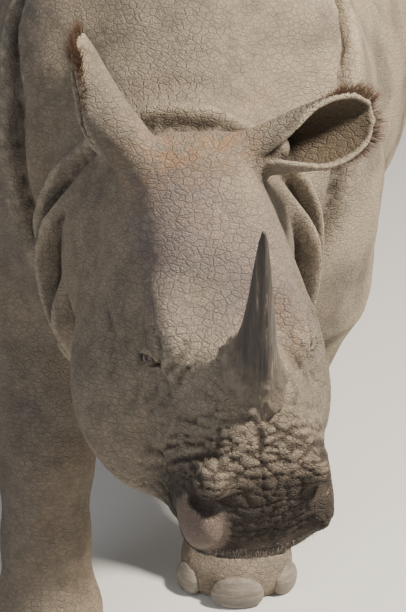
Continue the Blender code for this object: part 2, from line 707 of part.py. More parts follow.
def build():
    for old in list(bpy.data.objects):
        bpy.data.objects.remove(old)
    skin = new_material("skin", SKIN_COLOUR, 0.85)
    horn_stuff = new_material("horn", HORN_COLOUR, 0.55)
    nail_stuff = new_material("nail", NAIL_COLOUR, 0.60)
    eye_stuff = new_material("eye", EYE_COLOUR, 0.08)

    whole = make_flesh(skin)
    whole_cutter = fattened(whole, "flesh_cutter")

    make_shell("tail", tail, (0, 1.02, 0.93), (0.1, 0.12, 0.37), 0.012, 260, skin)
    cut_from(bpy.data.objects["tail"], whole_cutter)

    for word, place, tip, opening in (
        ("left", EAR_LEFT_BASE, EAR_LEFT_TIP, EAR_LEFT_OPENING),
        ("right", EAR_RIGHT_BASE, EAR_RIGHT_TIP, EAR_RIGHT_OPENING),
    ):
        base = from_head(place)
        middle = base + unit(tip) * EAR_LENGTH / 2
        reach = np.full(3, EAR_LENGTH / 2 + 0.07)
        shape = lambda p, b=base, t=tip, o=opening: ear(p, b, t, o)
        made = make_shell(f"ear_{word}", shape, middle, reach, EAR_CELL, EAR_TRIANGLES, skin)
        cut_from(made, whole_cutter)

    horn = make_horn(horn_stuff)
    cut_from(horn, whole_cutter)

    for word, joints in (
        ("front_left", LEG_FRONT_LEFT),
        ("front_right", LEG_FRONT_RIGHT),
        ("hind_left", LEG_HIND_LEFT),
        ("hind_right", LEG_HIND_RIGHT),
    ):
        make_nails(word, joints, whole_cutter, nail_stuff)

    sockets = []
    for word, side in (("left", 1), ("right", -1)):
        centre = eye_centre(side)
        ball(f"eye_{word}", centre, [EYE_RADIUS] * 3, eye_stuff)
        socket = ball(f"socket_{word}", centre, [EYE_RADIUS + GAP * 1.3] * 3, eye_stuff)
        socket.hide_render = True
        socket.display_type = "WIRE"
        sockets.append(socket)

    head_node = parted(whole, "head", [(NECK_CUT, -1), (FORE_LEG_CUT, -1)])
    for socket in sockets:
        cut_from(head_node, socket)
    parted(whole, "neck", [(NECK_CUT, 1), (SHOULDER_CUT, -1), (FORE_LEG_CUT, -1)])
    parted(
        whole, "shoulders", [(SHOULDER_CUT, 1), (BARREL_CUT, -1), (FORE_LEG_CUT, -1)]
    )
    parted(whole, "barrel", [(BARREL_CUT, 1), (RUMP_CUT, -1)])
    parted(whole, "rump", [(RUMP_CUT, 1), (HIND_LEG_CUT, -1)])
    for word, side in (("left", 1), ("right", -1)):
        fore = [(BARREL_CUT, -1), (FORE_LEG_CUT, 1)]
        hind = [(RUMP_CUT, 1), (HIND_LEG_CUT, 1)]
        parted(whole, f"leg_front_{word}", [*fore, (FOOT_CUT, -1)], side)
        parted(whole, f"foot_front_{word}", [*fore, (FOOT_CUT, 1)], side)
        parted(whole, f"leg_hind_{word}", [*hind, (FOOT_CUT, -1)], side)
        parted(whole, f"foot_hind_{word}", [*hind, (FOOT_CUT, 1)], side)
    whole.hide_render = True
    whole.display_type = "WIRE"
    settle()


build()
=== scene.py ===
import itertools
import math

import bmesh
import bpy
import numpy as np
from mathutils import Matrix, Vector


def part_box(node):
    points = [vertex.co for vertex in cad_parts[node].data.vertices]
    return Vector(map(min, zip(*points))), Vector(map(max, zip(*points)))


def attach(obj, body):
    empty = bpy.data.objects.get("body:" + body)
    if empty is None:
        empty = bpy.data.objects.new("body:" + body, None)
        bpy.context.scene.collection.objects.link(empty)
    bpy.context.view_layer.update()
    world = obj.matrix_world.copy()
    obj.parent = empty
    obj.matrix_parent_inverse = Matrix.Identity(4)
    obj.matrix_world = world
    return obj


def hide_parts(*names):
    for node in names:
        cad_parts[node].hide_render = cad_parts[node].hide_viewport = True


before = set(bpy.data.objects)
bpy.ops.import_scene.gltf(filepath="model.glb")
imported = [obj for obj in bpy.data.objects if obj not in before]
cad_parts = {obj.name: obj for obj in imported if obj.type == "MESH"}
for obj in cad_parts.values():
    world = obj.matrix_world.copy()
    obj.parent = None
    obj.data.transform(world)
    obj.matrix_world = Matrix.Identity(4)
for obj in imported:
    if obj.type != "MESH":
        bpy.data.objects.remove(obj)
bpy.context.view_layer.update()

# ---------------------------------------------------------------- sizes (metres, design frame)
SKIN_CELL = 0.006
SKIN_TRIANGLES = 197000
COARSE_TRIANGLES = 36000
BODY_EDGE, NECK_FINER, FOOT_FINER = 0.026, 0.012, 0.010
HEAD_EDGE, MUZZLE_EDGE, CREASE_EDGE, EAR_EDGE = 0.0072, 0.0046, 0.0040, 0.0080
LID_EDGE, EYE_FOLD_EDGE = 0.0026, 0.0042
EDGE_FACTOR, QUICK_COARSER = 1.52, 1.35

TRUNK_Y = (-1.32, -1.24, -1.12, -0.98, -0.82, -0.62, -0.38, -0.05, 0.27, 0.52, 0.74, 0.90, 0.99, 1.03)
TRUNK_BACK = (1.08, 1.19, 1.26, 1.34, 1.46, 1.575, 1.585, 1.51, 1.515, 1.56, 1.50, 1.38, 1.24, 1.10)
TRUNK_BELLY = (0.95, 0.82, 0.73, 0.66, 0.63, 0.61, 0.59, 0.53, 0.50, 0.52, 0.63, 0.75, 0.87, 1.00)
TRUNK_HALF = (0.06, 0.180, 0.232, 0.255, 0.30, 0.375, 0.45, 0.53, 0.55, 0.50, 0.42, 0.32, 0.19, 0.07)
TRUNK_SQUARE = 2.35
SHOULDER_X = -0.05
RUMP_X = 0.0
SHOULDER_PLATE = ((0.235, -0.60, 0.98), (0.205, 0.285, 0.46))
HAUNCH_PLATE = ((0.235, 0.80, 1.00), (0.215, 0.29, 0.46))

LEG_FRONT_RIGHT = (
    (-0.30, -0.62, 0.98, 0.20),
    (-0.345, -0.66, 0.72, 0.165),
    (-0.350, -0.84, 0.49, 0.112),
    (-0.352, -0.90, 0.40, 0.103),
    (-0.355, -0.93, 0.22, 0.095),
    (-0.355, -0.945, 0.06, 0.112),
)
LEG_FRONT_LEFT = (
    (0.20, -0.60, 0.98, 0.20),
    (0.215, -0.60, 0.72, 0.165),
    (0.150, -0.66, 0.49, 0.120),
    (0.125, -0.68, 0.40, 0.113),
    (0.090, -0.70, 0.22, 0.100),
    (0.080, -0.72, 0.06, 0.118),
)
LEG_HIND_RIGHT = (
    (-0.24, 0.80, 0.98, 0.24),
    (-0.27, 0.70, 0.72, 0.200),
    (-0.25, 0.88, 0.49, 0.122),
    (-0.245, 0.94, 0.40, 0.108),
    (-0.235, 0.92, 0.22, 0.096),
    (-0.235, 0.885, 0.06, 0.112),
)
LEG_HIND_LEFT = (
    (0.24, 0.77, 0.98, 0.24),
    (0.27, 0.65, 0.72, 0.200),
    (0.25, 0.76, 0.49, 0.122),
    (0.245, 0.80, 0.40, 0.108),
    (0.235, 0.775, 0.22, 0.096),
    (0.235, 0.74, 0.06, 0.112),
)
LEGS = {
    "front_left": LEG_FRONT_LEFT,
    "front_right": LEG_FRONT_RIGHT,
    "hind_left": LEG_HIND_LEFT,
    "hind_right": LEG_HIND_RIGHT,
}
FOOT_LENGTHEN = 0.022
TOE_TURNS = (math.radians(-62), 0.0, math.radians(62))
TOE_REACH = 0.082
TOE_RADII = (0.055, 0.055, 0.062)

CROWN = (-0.015, -1.275, 1.295)
HEAD_TURN = math.radians(14.0)
HEAD_DROP = math.radians(32.0)
HEAD_ROLL = math.radians(1.5)
HEAD_F = (-0.10, -0.03, 0.10, 0.20, 0.30, 0.40, 0.50, 0.58, 0.64, 0.69, 0.722, 0.740)
HEAD_TOP = (-0.10, -0.012, 0.006, -0.010, -0.028, -0.028, -0.012, -0.018, -0.050, -0.10, -0.15, -0.195)
HEAD_LOW = (-0.24, -0.33, -0.375, -0.388, -0.392, -0.390, -0.368, -0.328, -0.298, -0.275, -0.25, -0.228)
HALF_UPPER = (0.09, 0.125, 0.142, 0.148, 0.142, 0.120, 0.106, 0.104, 0.112, 0.108, 0.085, 0.045)
HALF_MIDDLE = (0.11, 0.150, 0.175, 0.195, 0.208, 0.188, 0.162, 0.145, 0.142, 0.132, 0.102, 0.050)
HALF_LOWER = (0.11, 0.160, 0.205, 0.225, 0.235, 0.228, 0.185, 0.145, 0.128, 0.112, 0.088, 0.045)
HEAD_SQUARE = 3.0
BROW = ((0.355, -0.080, 0.112), (0.085, 0.048, 0.036))
CHEEK = ((0.365, -0.285, 0.112), (0.190, 0.118, 0.124))
NOSE_BOSS = ((0.510, -0.045, 0.0), (0.085, 0.045, 0.075))
ALAR_BUMP = ((0.662, -0.094, 0.094), (0.028, 0.026, 0.026))
UPPER_LIP = ((0.690, -0.225, 0.0), (0.055, 0.042, 0.118))
LIP_LOBE = ((0.688, -0.174, 0.102), (0.046, 0.040, 0.032))
CHIN = ((0.610, -0.285, 0.0), (0.085, 0.040, 0.090))
JAW_SHIFT = 0.022
NOSTRIL = ((0.706, -0.104, 0.070, 0.010), (0.692, -0.116, 0.100, 0.015), (0.668, -0.130, 0.122, 0.010))
LIP_EDGE_S = (-0.130, -0.105, -0.060, 0.0, 0.060, 0.105, 0.135)
LIP_EDGE_F = (0.655, 0.692, 0.716, 0.727, 0.716, 0.692, 0.655)
LIP_EDGE_U = (-0.190, -0.205, -0.207, -0.208, -0.203, -0.190, -0.165)
LIP_EDGE_RADIUS = 0.017
LIP_LINE_F = (0.560, 0.600, 0.660, 0.700, 0.750)
LIP_LINE_U = (-0.240, -0.225, -0.222, -0.230, -0.240)
EYE_PLACE = (0.388, -0.118)
EYE_RADIUS = 0.024
EYE_SUNK = 0.0135

BIB_PLACES = (-1.140, -1.085, -1.020)
BIB_TOPS = (0.95, 1.40, 9.0)
BIB_HEIGHT = 0.95
BIB_LIP = 0.050
BIB_NAPE = 0.055
BIB_MIDDLE = 0.030
BIB_SWELL = 0.024
BIB_DEPTH = 0.022
BIB_WIDTH = 0.013

EAR_LENGTH = 0.245
EAR_LEFT_BASE = (0.005, -0.044, 0.115)
EAR_RIGHT_BASE = (-0.005, -0.040, -0.105)
EAR_RIGHT_TIP, EAR_RIGHT_OPENING = (-0.53, 0.35, 0.755), (-1.0, -0.12, 0.0)
EAR_LEFT_TIP, EAR_LEFT_OPENING = (1.0, 0.17, 0.285), (0.10, -0.90, 0.10)
EAR_A = (0.00, 0.15, 0.35, 0.60, 0.80, 0.93, 1.00)
EAR_RADIUS = (0.036, 0.043, 0.052, 0.060, 0.056, 0.042, 0.020)
EAR_OPENING = (12.0, 22.0, 45.0, 82.0, 98.0, 104.0, 108.0)
EAR_THICK = 0.0135
EAR_ROOT = (0.056, 0.036)

HORN_F, HORN_U = 0.512, -0.040
HORN_BACK = 0.085
HORN_ASIDE = 0.022

HORN_UP = (0.0, 0.03, 0.055, 0.09, 0.14, 0.20, 0.27, 0.325, 0.345)
HORN_LONG = (0.086, 0.080, 0.067, 0.052, 0.040, 0.031, 0.020, 0.010, 0.003)
HORN_WIDE = (0.066, 0.060, 0.048, 0.037, 0.029, 0.022, 0.015, 0.008, 0.003)
NAIL_HEIGHT, NAIL_CLEAR = 0.030, 0.003
NAIL_RADII = ((0.044, 0.026, 0.042), (0.062, 0.028, 0.046), (0.044, 0.026, 0.042))
PATCH = 0.003
SPIN_RANGE = 6.283
NAIL_SWELL, NAIL_INSET, NAIL_DIP = 0.00025, 0.010, 0.004
EAR_HAIRS = 1500
TAIL_HAIRS = 420
LASHES = 34
LIP_HAIRS = 420

HIDE_WARM = (0.290, 0.235, 0.170)
HIDE_GREY = (0.205, 0.178, 0.148)
HIDE_DARK = (0.110, 0.090, 0.070)
# pale cream: a pale patch by the nose bridge, and painted sunlight on the animal's left side
HIDE_CREAM_AND_SUNLIT = (0.560, 0.470, 0.340)
HIDE_PURPLE = (0.180, 0.150, 0.148)
HIDE_RUST = (0.300, 0.165, 0.080)
HIDE_MUZZLE = (0.024, 0.016, 0.012)
HIDE_LOBE = (0.190, 0.135, 0.115)
# bluish-grey nostril skin, made darker as painted shadow in the opening
HIDE_NOSTRIL_AND_SHADOW = (0.045, 0.045, 0.052)
# olive-brown skin inside the ears, darkened further as painted shade in the cup
HIDE_INNER_EAR_AND_SHADE = (0.105, 0.078, 0.048)
HIDE_PINK = (0.400, 0.230, 0.190)
# dark of the hide's fine cracks, also used as painted shade with some dirt in creases and hollows
HIDE_CRACK_AND_SHADE = (0.045, 0.033, 0.025)
# pale of dust and painted highlight on raised ridges (the rim mask)
HIDE_RIM_DUST_AND_HIGHLIGHT = (0.470, 0.400, 0.290)
HORN_DARK = (0.030, 0.025, 0.022)
HORN_BROWN = (0.085, 0.062, 0.045)
HORN_PALE = (0.300, 0.240, 0.170)
HORN_BASE = (0.110, 0.088, 0.068)
NAIL_GREY = (0.110, 0.100, 0.088)
NAIL_PALE = (0.220, 0.195, 0.160)
NAIL_DARK = (0.080, 0.070, 0.060)
EYE_IRIS = (0.030, 0.015, 0.008)
EYE_IRIS_PALE = (0.110, 0.055, 0.025)
EYE_RING = (0.008, 0.006, 0.005)
EYE_PUPIL = (0.002, 0.002, 0.002)
EYE_WHITE = (0.120, 0.085, 0.065)
EYE_VEIN = (0.070, 0.035, 0.028)
HAIR_DARK = (0.050, 0.030, 0.018)
MASKS = (
    "groove", "rim", "muzzle", "lobe", "nostril", "smooth",
    "forehead", "rust", "cream_and_sunlit", "dust", "inner", "pink",
)

SENSOR_HEIGHT = 24
CAMERA_REACH = 1921 / 612  # focal length over the picture's height
CAMERA_PLACE = (0, -4.645, 2.53)
CAMERA_DOWN = math.radians(25)
FLOOR_HALF = 14

TAIL_JOINTS = (
    (0.0, 0.985, 1.200, 0.050),
    (0.0, 1.045, 1.080, 0.043),
    (0.0, 1.060, 0.900, 0.033),
    (0.0, 1.058, 0.740, 0.026),
    (0.0, 1.052, 0.640, 0.022),
)


# ---------------------------------------------------------------- shape tools
def curve(t, knots, values):
    """A smooth curve through the values at the knots, level beyond its ends."""
    knots = np.array(knots, float)
    values = np.array(values, float)
    slopes = np.gradient(values, knots)
    fine = np.linspace(knots[0], knots[-1], 600)
    i = np.clip(np.searchsorted(knots, fine, side="right") - 1, 0, len(knots) - 2)
    width = knots[i + 1] - knots[i]
    u = (fine - knots[i]) / width
    table = (1 + 2 * u) * (1 - u) ** 2 * values[i] + u**2 * (3 - 2 * u) * values[i + 1]
    table += width * (u * (1 - u) ** 2 * slopes[i] + u**2 * (u - 1) * slopes[i + 1])
    return np.interp(t, fine, table)


def smooth_step(t, low, high):
    t = np.clip((t - low) / (high - low), 0, 1)
    return t * t * (3 - 2 * t)


def bell(t, width):
    return np.exp(-((t / width) ** 2))


def join(a, b, blend):
    """Union of two solids, rounded over the blend width."""
    h = np.clip(0.5 + 0.5 * (b - a) / blend, 0, 1)
    return b * (1 - h) + a * h - blend * h * (1 - h)


def carve(a, b, blend):
    """The first solid less the second, with a rounded edge."""
    return -join(-a, b, blend)


def ellipsoid(p, centre, radii):
    offset = (p - np.array(centre)) / np.array(radii)
    near = np.linalg.norm(offset, axis=1)
    steep = np.linalg.norm(offset / np.array(radii), axis=1)
    return near * (near - 1) / np.maximum(steep, 1e-9)


def tapered(p, start, end):
    """A rounded bar between two (x, y, z, radius) ends."""
    a, b = np.array(start[:3]), np.array(end[:3])
    along = np.clip((p - a) @ (b - a) / ((b - a) @ (b - a)), 0, 1)
    centre = a + along[:, None] * (b - a)
    radius = start[3] + (end[3] - start[3]) * along
    return np.linalg.norm(p - centre, axis=1) - radius


def oval_section(side, half, up, middle, height, square):
    """Distance from a squared oval section, taken in its own plane."""
    a = np.abs(side) / half
    b = np.abs(up - middle) / height
    r = np.maximum((a**square + b**square) ** (1 / square), 1e-6)
    slope_a = (a / r) ** (square - 1) / half
    slope_b = (b / r) ** (square - 1) / height
    return (r - 1) / np.maximum(np.hypot(slope_a, slope_b), 1e-6)


def unit(v):
    return np.array(v) / np.linalg.norm(v)


def add_part(d, p, part, low, high, blend):
    """The solid with a part joined to it, worked out only near that part."""
    near = np.all((p > np.array(low)) & (p < np.array(high)), axis=1)
    if near.any():
        d = d.copy()
        d[near] = join(d[near], part(p[near]), blend)
    return d


# ---------------------------------------------------------------- the animal's shape
def outward(p):
    """The points with their X measured outwards from the middle of the body."""
    middle = SHOULDER_X + (RUMP_X - SHOULDER_X) * smooth_step(p[:, 1], -0.7, 0.3)
    out = p.copy()
    out[:, 0] = np.abs(p[:, 0] - middle)
    return out


def trunk(p):
    q = outward(p)
    back = curve(q[:, 1], TRUNK_Y, TRUNK_BACK)
    belly = curve(q[:, 1], TRUNK_Y, TRUNK_BELLY)
    half = curve(q[:, 1], TRUNK_Y, TRUNK_HALF)
    middle = (back + belly) / 2
    half = half * (1 - 0.16 * smooth_step(q[:, 2], 0.95, 1.6))
    d = oval_section(q[:, 0], half, q[:, 2], middle, (back - belly) / 2, TRUNK_SQUARE)
    ends = np.maximum(TRUNK_Y[0] - q[:, 1], q[:, 1] - TRUNK_Y[-1])
    d = np.maximum(d, ends)
    d = join(d, ellipsoid(q, *SHOULDER_PLATE), 0.10)
    d = join(d, ellipsoid(q, *HAUNCH_PLATE), 0.10)
    near = np.abs(d) < 0.12
    rise = np.zeros(len(q))
    rise[near] = trunk_folds(q[near], d[near]) + bib_rolls(q[near], d[near])
    return d - rise


def fold(sheet, lip, reach, depth, width):
    """Rise of the skin beside a fold: a groove on the sheet, and a lip on its + side."""
    rise = lip * smooth_step(sheet, 0, width) * np.exp(-np.maximum(sheet, 0) / reach)
    return rise - depth * bell(sheet, width)


def trunk_folds(q, d):
    x, y, z = q.T
    lean = 0.8 * d
    behind_shoulder = -(y + 0.27 + 0.14 * (1.1 - z) - 0.10 * (z - 1.1) ** 2)
    before_rump = y - 0.44 - 0.10 * (1.1 - z)
    before_shoulder = y + 0.98 - 0.36 * (z - 0.70) - 0.18 * smooth_step(z, 1.2, 1.5)
    above_fore = z - 0.645 - 0.06 * (y + 0.6)
    above_hind = z - 0.76 + 0.30 * (y - 0.80)
    across_haunch = 1.20 - z - 0.20 * (1.0 - y)
    low = 1 - smooth_step(z, 0.62, 0.56)
    rise = fold(behind_shoulder + lean, 0.022, 0.10, 0.030, 0.022) * low
    rise += fold(before_rump + lean, 0.022, 0.10, 0.030, 0.022) * low
    side = smooth_step(x, 0.10, 0.22) * smooth_step(z, 0.62, 0.72)
    rise += fold(before_shoulder + lean, 0.020, 0.08, 0.024, 0.020) * side * smooth_step(y, -0.25, -0.45)
    fore = smooth_step(y, -0.28, -0.36) * smooth_step(x, 0.12, 0.24)
    rise += fold(above_fore + lean, 0.030, 0.10, 0.020, 0.022) * fore
    hind = smooth_step(y, 0.46, 0.56) * smooth_step(x, 0.12, 0.24)
    rise += fold(above_hind + lean, 0.026, 0.10, 0.020, 0.022) * hind
    haunch = smooth_step(y, 0.72, 0.90) * smooth_step(x, 0.05, 0.12)
    rise += fold(across_haunch + lean, 0.012, 0.08, 0.018, 0.020) * haunch
    tail_groove = bell(x, 0.055) * smooth_step(y, 0.95, 1.05) * smooth_step(z, 0.7, 0.85)
    return rise - 0.030 * tail_groove


def bib_rolls(q, d):
    """Rise of the lips that ring the neck behind the jaw, the rearmost one over the nape."""
    x, y, z = q.T
    around = np.arctan2(x, BIB_HEIGHT - z)
    rise = np.zeros(len(q))
    for place, top in zip(BIB_PLACES, BIB_TOPS):
        ahead = BIB_NAPE * smooth_step(around, 1.9, 2.7)
        sheet = y - place + ahead - 0.10 * (BIB_HEIGHT - z) + 0.45 * d
        fade = 1 - smooth_step(around, 1.2 * top, 1.7 * top)
        fade *= 1 - 0.5 * smooth_step(around, 1.8, 2.6)
        fade *= 0.45 + 0.55 * smooth_step(around, 0.15, 0.80)
        roll = BIB_LIP * bell(sheet - BIB_MIDDLE, BIB_SWELL) - BIB_DEPTH * bell(sheet, BIB_WIDTH)
        rise += roll * fade
    return rise * smooth_step(-y, 0.75, 0.90)


def leg(p, joints):
    """A leg as a chain of rounded bars, ending in a broad pad with three toes."""
    d = tapered(p, joints[0], joints[1])
    for upper, lower in zip(joints[1:-1], joints[2:]):
        d = join(d, tapered(p, upper, lower), 0.035)
    x, y, z, radius = joints[-1]
    pad = ellipsoid(p, (x, y - FOOT_LENGTHEN, 0.045), (radius * 1.08, radius * 1.10, 0.095))
    d = join(d, pad, 0.04)
    for turn in TOE_TURNS:
        toe = (x + TOE_REACH * math.sin(turn), y - FOOT_LENGTHEN - TOE_REACH * math.cos(turn), 0.04)
        d = join(d, ellipsoid(p, toe, TOE_RADII), 0.02)
    return d


def head_axes():
    """World directions of the head: along the face, up from it, and to its left."""
    turn, drop, roll = HEAD_TURN, HEAD_DROP, HEAD_ROLL
    ahead = np.array((math.sin(turn), -math.cos(turn), 0))
    left = np.array((math.cos(turn), math.sin(turn), 0))
    face = ahead * math.cos(drop) - np.array((0, 0, math.sin(drop)))
    up = ahead * math.sin(drop) + np.array((0, 0, math.cos(drop)))
    rolled_up = up * math.cos(roll) + left * math.sin(roll)
    rolled_left = left * math.cos(roll) - up * math.sin(roll)
    return np.array((face, rolled_up, rolled_left))


HEAD_AXES = head_axes()


def to_head(p):
    return (p - np.array(CROWN)) @ HEAD_AXES.T


def from_head(h):
    return np.array(h) @ HEAD_AXES + np.array(CROWN)


def skull(p):
    """The head without eyelids: sections, muscles, nose and lips."""
    f, u, side = to_head(p).T
    right_side = smooth_step(-side, -0.02, 0.03)
    s = np.abs(side + JAW_SHIFT * smooth_step(-u, 0.16, 0.32))
    top = curve(f, HEAD_F, HEAD_TOP)
    low = curve(f, HEAD_F, HEAD_LOW)
    level = np.clip((u - low) / (top - low), 0, 1)
    upper, middle, lower = (curve(f, HEAD_F, half) for half in (HALF_UPPER, HALF_MIDDLE, HALF_LOWER))
    half = lower + (middle - lower) * smooth_step(level, 0.15, 0.55)
    half = half + (upper - middle) * smooth_step(level, 0.50, 0.92)
    d = oval_section(s, half, u, (top + low) / 2, (top - low) / 2, HEAD_SQUARE)
    d = np.maximum(d, np.maximum(HEAD_F[0] - f, f - HEAD_F[-1]))
    h = np.stack((f, u, s), axis=1)
    d = join(d, ellipsoid(h, *BROW), 0.05)
    d = join(d, ellipsoid(h, *CHEEK), 0.05)
    d = join(d, ellipsoid(h, *NOSE_BOSS), 0.03)
    d = join(d, ellipsoid(h, *UPPER_LIP), 0.03)
    d = join(d, ellipsoid(h, *CHIN), 0.03)
    d = join(d, ellipsoid(h, *ALAR_BUMP) - 0.008 * right_side, 0.020)
    d = join(d, ellipsoid(h, *LIP_LOBE) - 0.005 * right_side, 0.016)
    margin = curve(side, LIP_EDGE_S, LIP_EDGE_F), curve(side, LIP_EDGE_S, LIP_EDGE_U)
    roll = np.hypot(f - margin[0], u - margin[1]) - LIP_EDGE_RADIUS
    d = join(d, np.maximum(roll, np.abs(side) - 0.125), 0.012)
    for start, end in zip(NOSTRIL[:-1], NOSTRIL[1:]):
        d = carve(d, tapered(h, start, end) - 0.004 * right_side, 0.010)
    lip_line = u - curve(f, LIP_LINE_F, LIP_LINE_U)
    d = d + 0.012 * bell(lip_line + 0.5 * d, 0.006) * smooth_step(f, 0.560, 0.600)
    return d


def eye_centre(side):
    """Where the eyeball sits: in from the skin beside the named place."""
    s = np.linspace(0.05, 0.30, 501)
    line = from_head(np.stack((np.full(501, EYE_PLACE[0]), np.full(501, EYE_PLACE[1]), side * s), 1))
    outside = np.flatnonzero(skull(line) > 0)[0]
    return from_head((EYE_PLACE[0], EYE_PLACE[1], side * (s[outside] - EYE_SUNK)))


EYES = {"left": eye_centre(1), "right": eye_centre(-1)}
LID_SLANT = math.radians(-24)
LID_AHEAD = math.radians(26)
LID_UP = math.radians(34)


def turned(a, b, angle):
    """Two coordinates turned about the third axis."""
    return a * math.cos(angle) - b * math.sin(angle), b * math.cos(angle) + a * math.sin(angle)


def eye_frame(p, side):
    """Places beside an eye: along its opening towards the nose, up across it, and outwards."""
    h = (p - EYES["left" if side > 0 else "right"]) @ HEAD_AXES.T
    f, u, s = h[:, 0], h[:, 1], h[:, 2] * side
    f, s = turned(f, s, LID_AHEAD)
    u, s = turned(u, s, LID_UP)
    along, across = turned(f, u, LID_SLANT)
    return along, across, s


def head(p):
    d = skull(p)
    for side in (1, -1):
        along, across, out = eye_frame(p, side)
        near = along**2 + across**2 + out**2 < 0.012
        if not near.any():
            continue
        a, b, c = along[near], across[near], out[near]
        reach = np.sqrt(a**2 + b**2 + c**2)
        lids = np.sqrt(a**2 + ((b - 0.006) * 0.95) ** 2 + c**2) - (EYE_RADIUS + 0.0060)
        local = join(d[near], lids, 0.012)
        pouch = np.sqrt((a / 1.5) ** 2 + ((b + 0.030) / 0.8) ** 2 + (c - 0.004) ** 2) - 0.016
        local = join(local, pouch, 0.012)
        rim = np.abs(b + 0.002 - 0.10 * a) - 0.0100 * (1 - (a / 0.031) ** 2)
        opening = np.maximum(rim * 0.8, 0.002 - c)
        local = carve(local, opening, 0.0035)
        ball = reach - (EYE_RADIUS - 0.0008)
        local = np.minimum(local, ball)
        d = d.copy()
        d[near] = local
    return d


def ear_axes(tip, opening):
    """Directions of an ear: towards its tip, towards its opening, and across."""
    axis = unit(tip)
    front = unit(np.array(opening) - axis * (axis @ np.array(opening)))
    return axis, front, np.cross(axis, front)


def ear(p, base, tip, opening):
    """A cupped leaf: a thin sheet bent round the ear's axis, closed below and open above."""
    axis, front, side = ear_axes(tip, opening)
    q = p - base
    along = q @ axis
    a = np.clip(along / EAR_LENGTH, 0, 1)
    radius = curve(a, EAR_A, EAR_RADIUS)
    gape = np.radians(curve(a, EAR_A, EAR_OPENING))
    b = q @ front - (radius - EAR_RADIUS[0])
    c = np.abs(q @ side)
    angle = np.arctan2(c, b)
    rim = np.hypot(b - radius * np.cos(gape), c - radius * np.sin(gape))
    d = np.where(angle > gape, np.abs(np.hypot(b, c) - radius), rim)
    beyond = np.maximum(np.abs(along - EAR_LENGTH / 2) - EAR_LENGTH / 2, 0)
    leaf = np.hypot(d, beyond) - EAR_THICK / 2 * (1.10 - 0.25 * a)
    root = tapered(q, (*(-0.045 * axis), EAR_ROOT[0]), (*(0.040 * axis), EAR_ROOT[1]))
    return join(leaf, root, 0.020)


EARS = {
    "left": (from_head(EAR_LEFT_BASE), EAR_LEFT_TIP, EAR_LEFT_OPENING),
    "right": (from_head(EAR_RIGHT_BASE), EAR_RIGHT_TIP, EAR_RIGHT_OPENING),
}


def tail(p):
    d = tapered(p, TAIL_JOINTS[0], TAIL_JOINTS[1])
    for upper, lower in zip(TAIL_JOINTS[1:-1], TAIL_JOINTS[2:]):
        d = join(d, tapered(p, upper, lower), 0.02)
    return d


PART_MARGIN = 0.16


def animal(p):
    """Distance from the skin of the whole animal."""
    d = trunk(p)
    for joints in LEGS.values():
        places = np.array(joints)
        low = (places[:, :3] - places[:, 3:]).min(0) - PART_MARGIN
        high = (places[:, :3] + places[:, 3:]).max(0) + PART_MARGIN
        d = add_part(d, p, lambda q, j=joints: leg(q, j), low, high, 0.03)
    d = add_part(d, p, head, (-0.45, -2.05, 0.45), (0.50, -0.95, 1.50), 0.03)
    for base, tip, opening in EARS.values():
        middle = base + unit(tip) * EAR_LENGTH / 2
        reach = EAR_LENGTH / 2 + 0.07 + PART_MARGIN
        part = lambda q, b=base, t=tip, o=opening: ear(q, b, t, o)
        d = add_part(d, p, part, middle - reach, middle + reach, 0.022)
    d = add_part(d, p, tail, (-0.25, 0.78, 0.45), (0.25, 1.30, 1.42), 0.02)
    return np.maximum(d, -p[:, 2])


# ---------------------------------------------------------------- surface of a shape
def pinched_patterns():
    """Which of a cell's 256 patterns of inside corners hold more than one sheet."""
    ends = [(i, i ^ bit) for i in range(8) for bit in (1, 2, 4) if i < i ^ bit]
    pinched = []
    for pattern in range(256):
        group = list(range(8))
        for i, j in ends:
            if (pattern >> i & 1) == (pattern >> j & 1):
                group = [group[i] if g == group[j] else g for g in group]
        pinched.append(len(set(group)) > 2)
    return np.array(pinched)


def without_pinches(at_spots, inverse, cell):
    """The corner values with the slightest one turned over wherever two sheets share a cell."""
    pinched = pinched_patterns()
    for _ in range(60):
        value = at_spots[inverse]
        bad = np.flatnonzero(pinched[((value < 0) << np.arange(8)).sum(1)])
        if not len(bad):
            break
        turned = inverse[bad, np.abs(value[bad]).argmin(1)]
        at_spots[turned] = np.where(at_spots[turned] < 0, 0.1, -0.1) * cell
    return at_spots


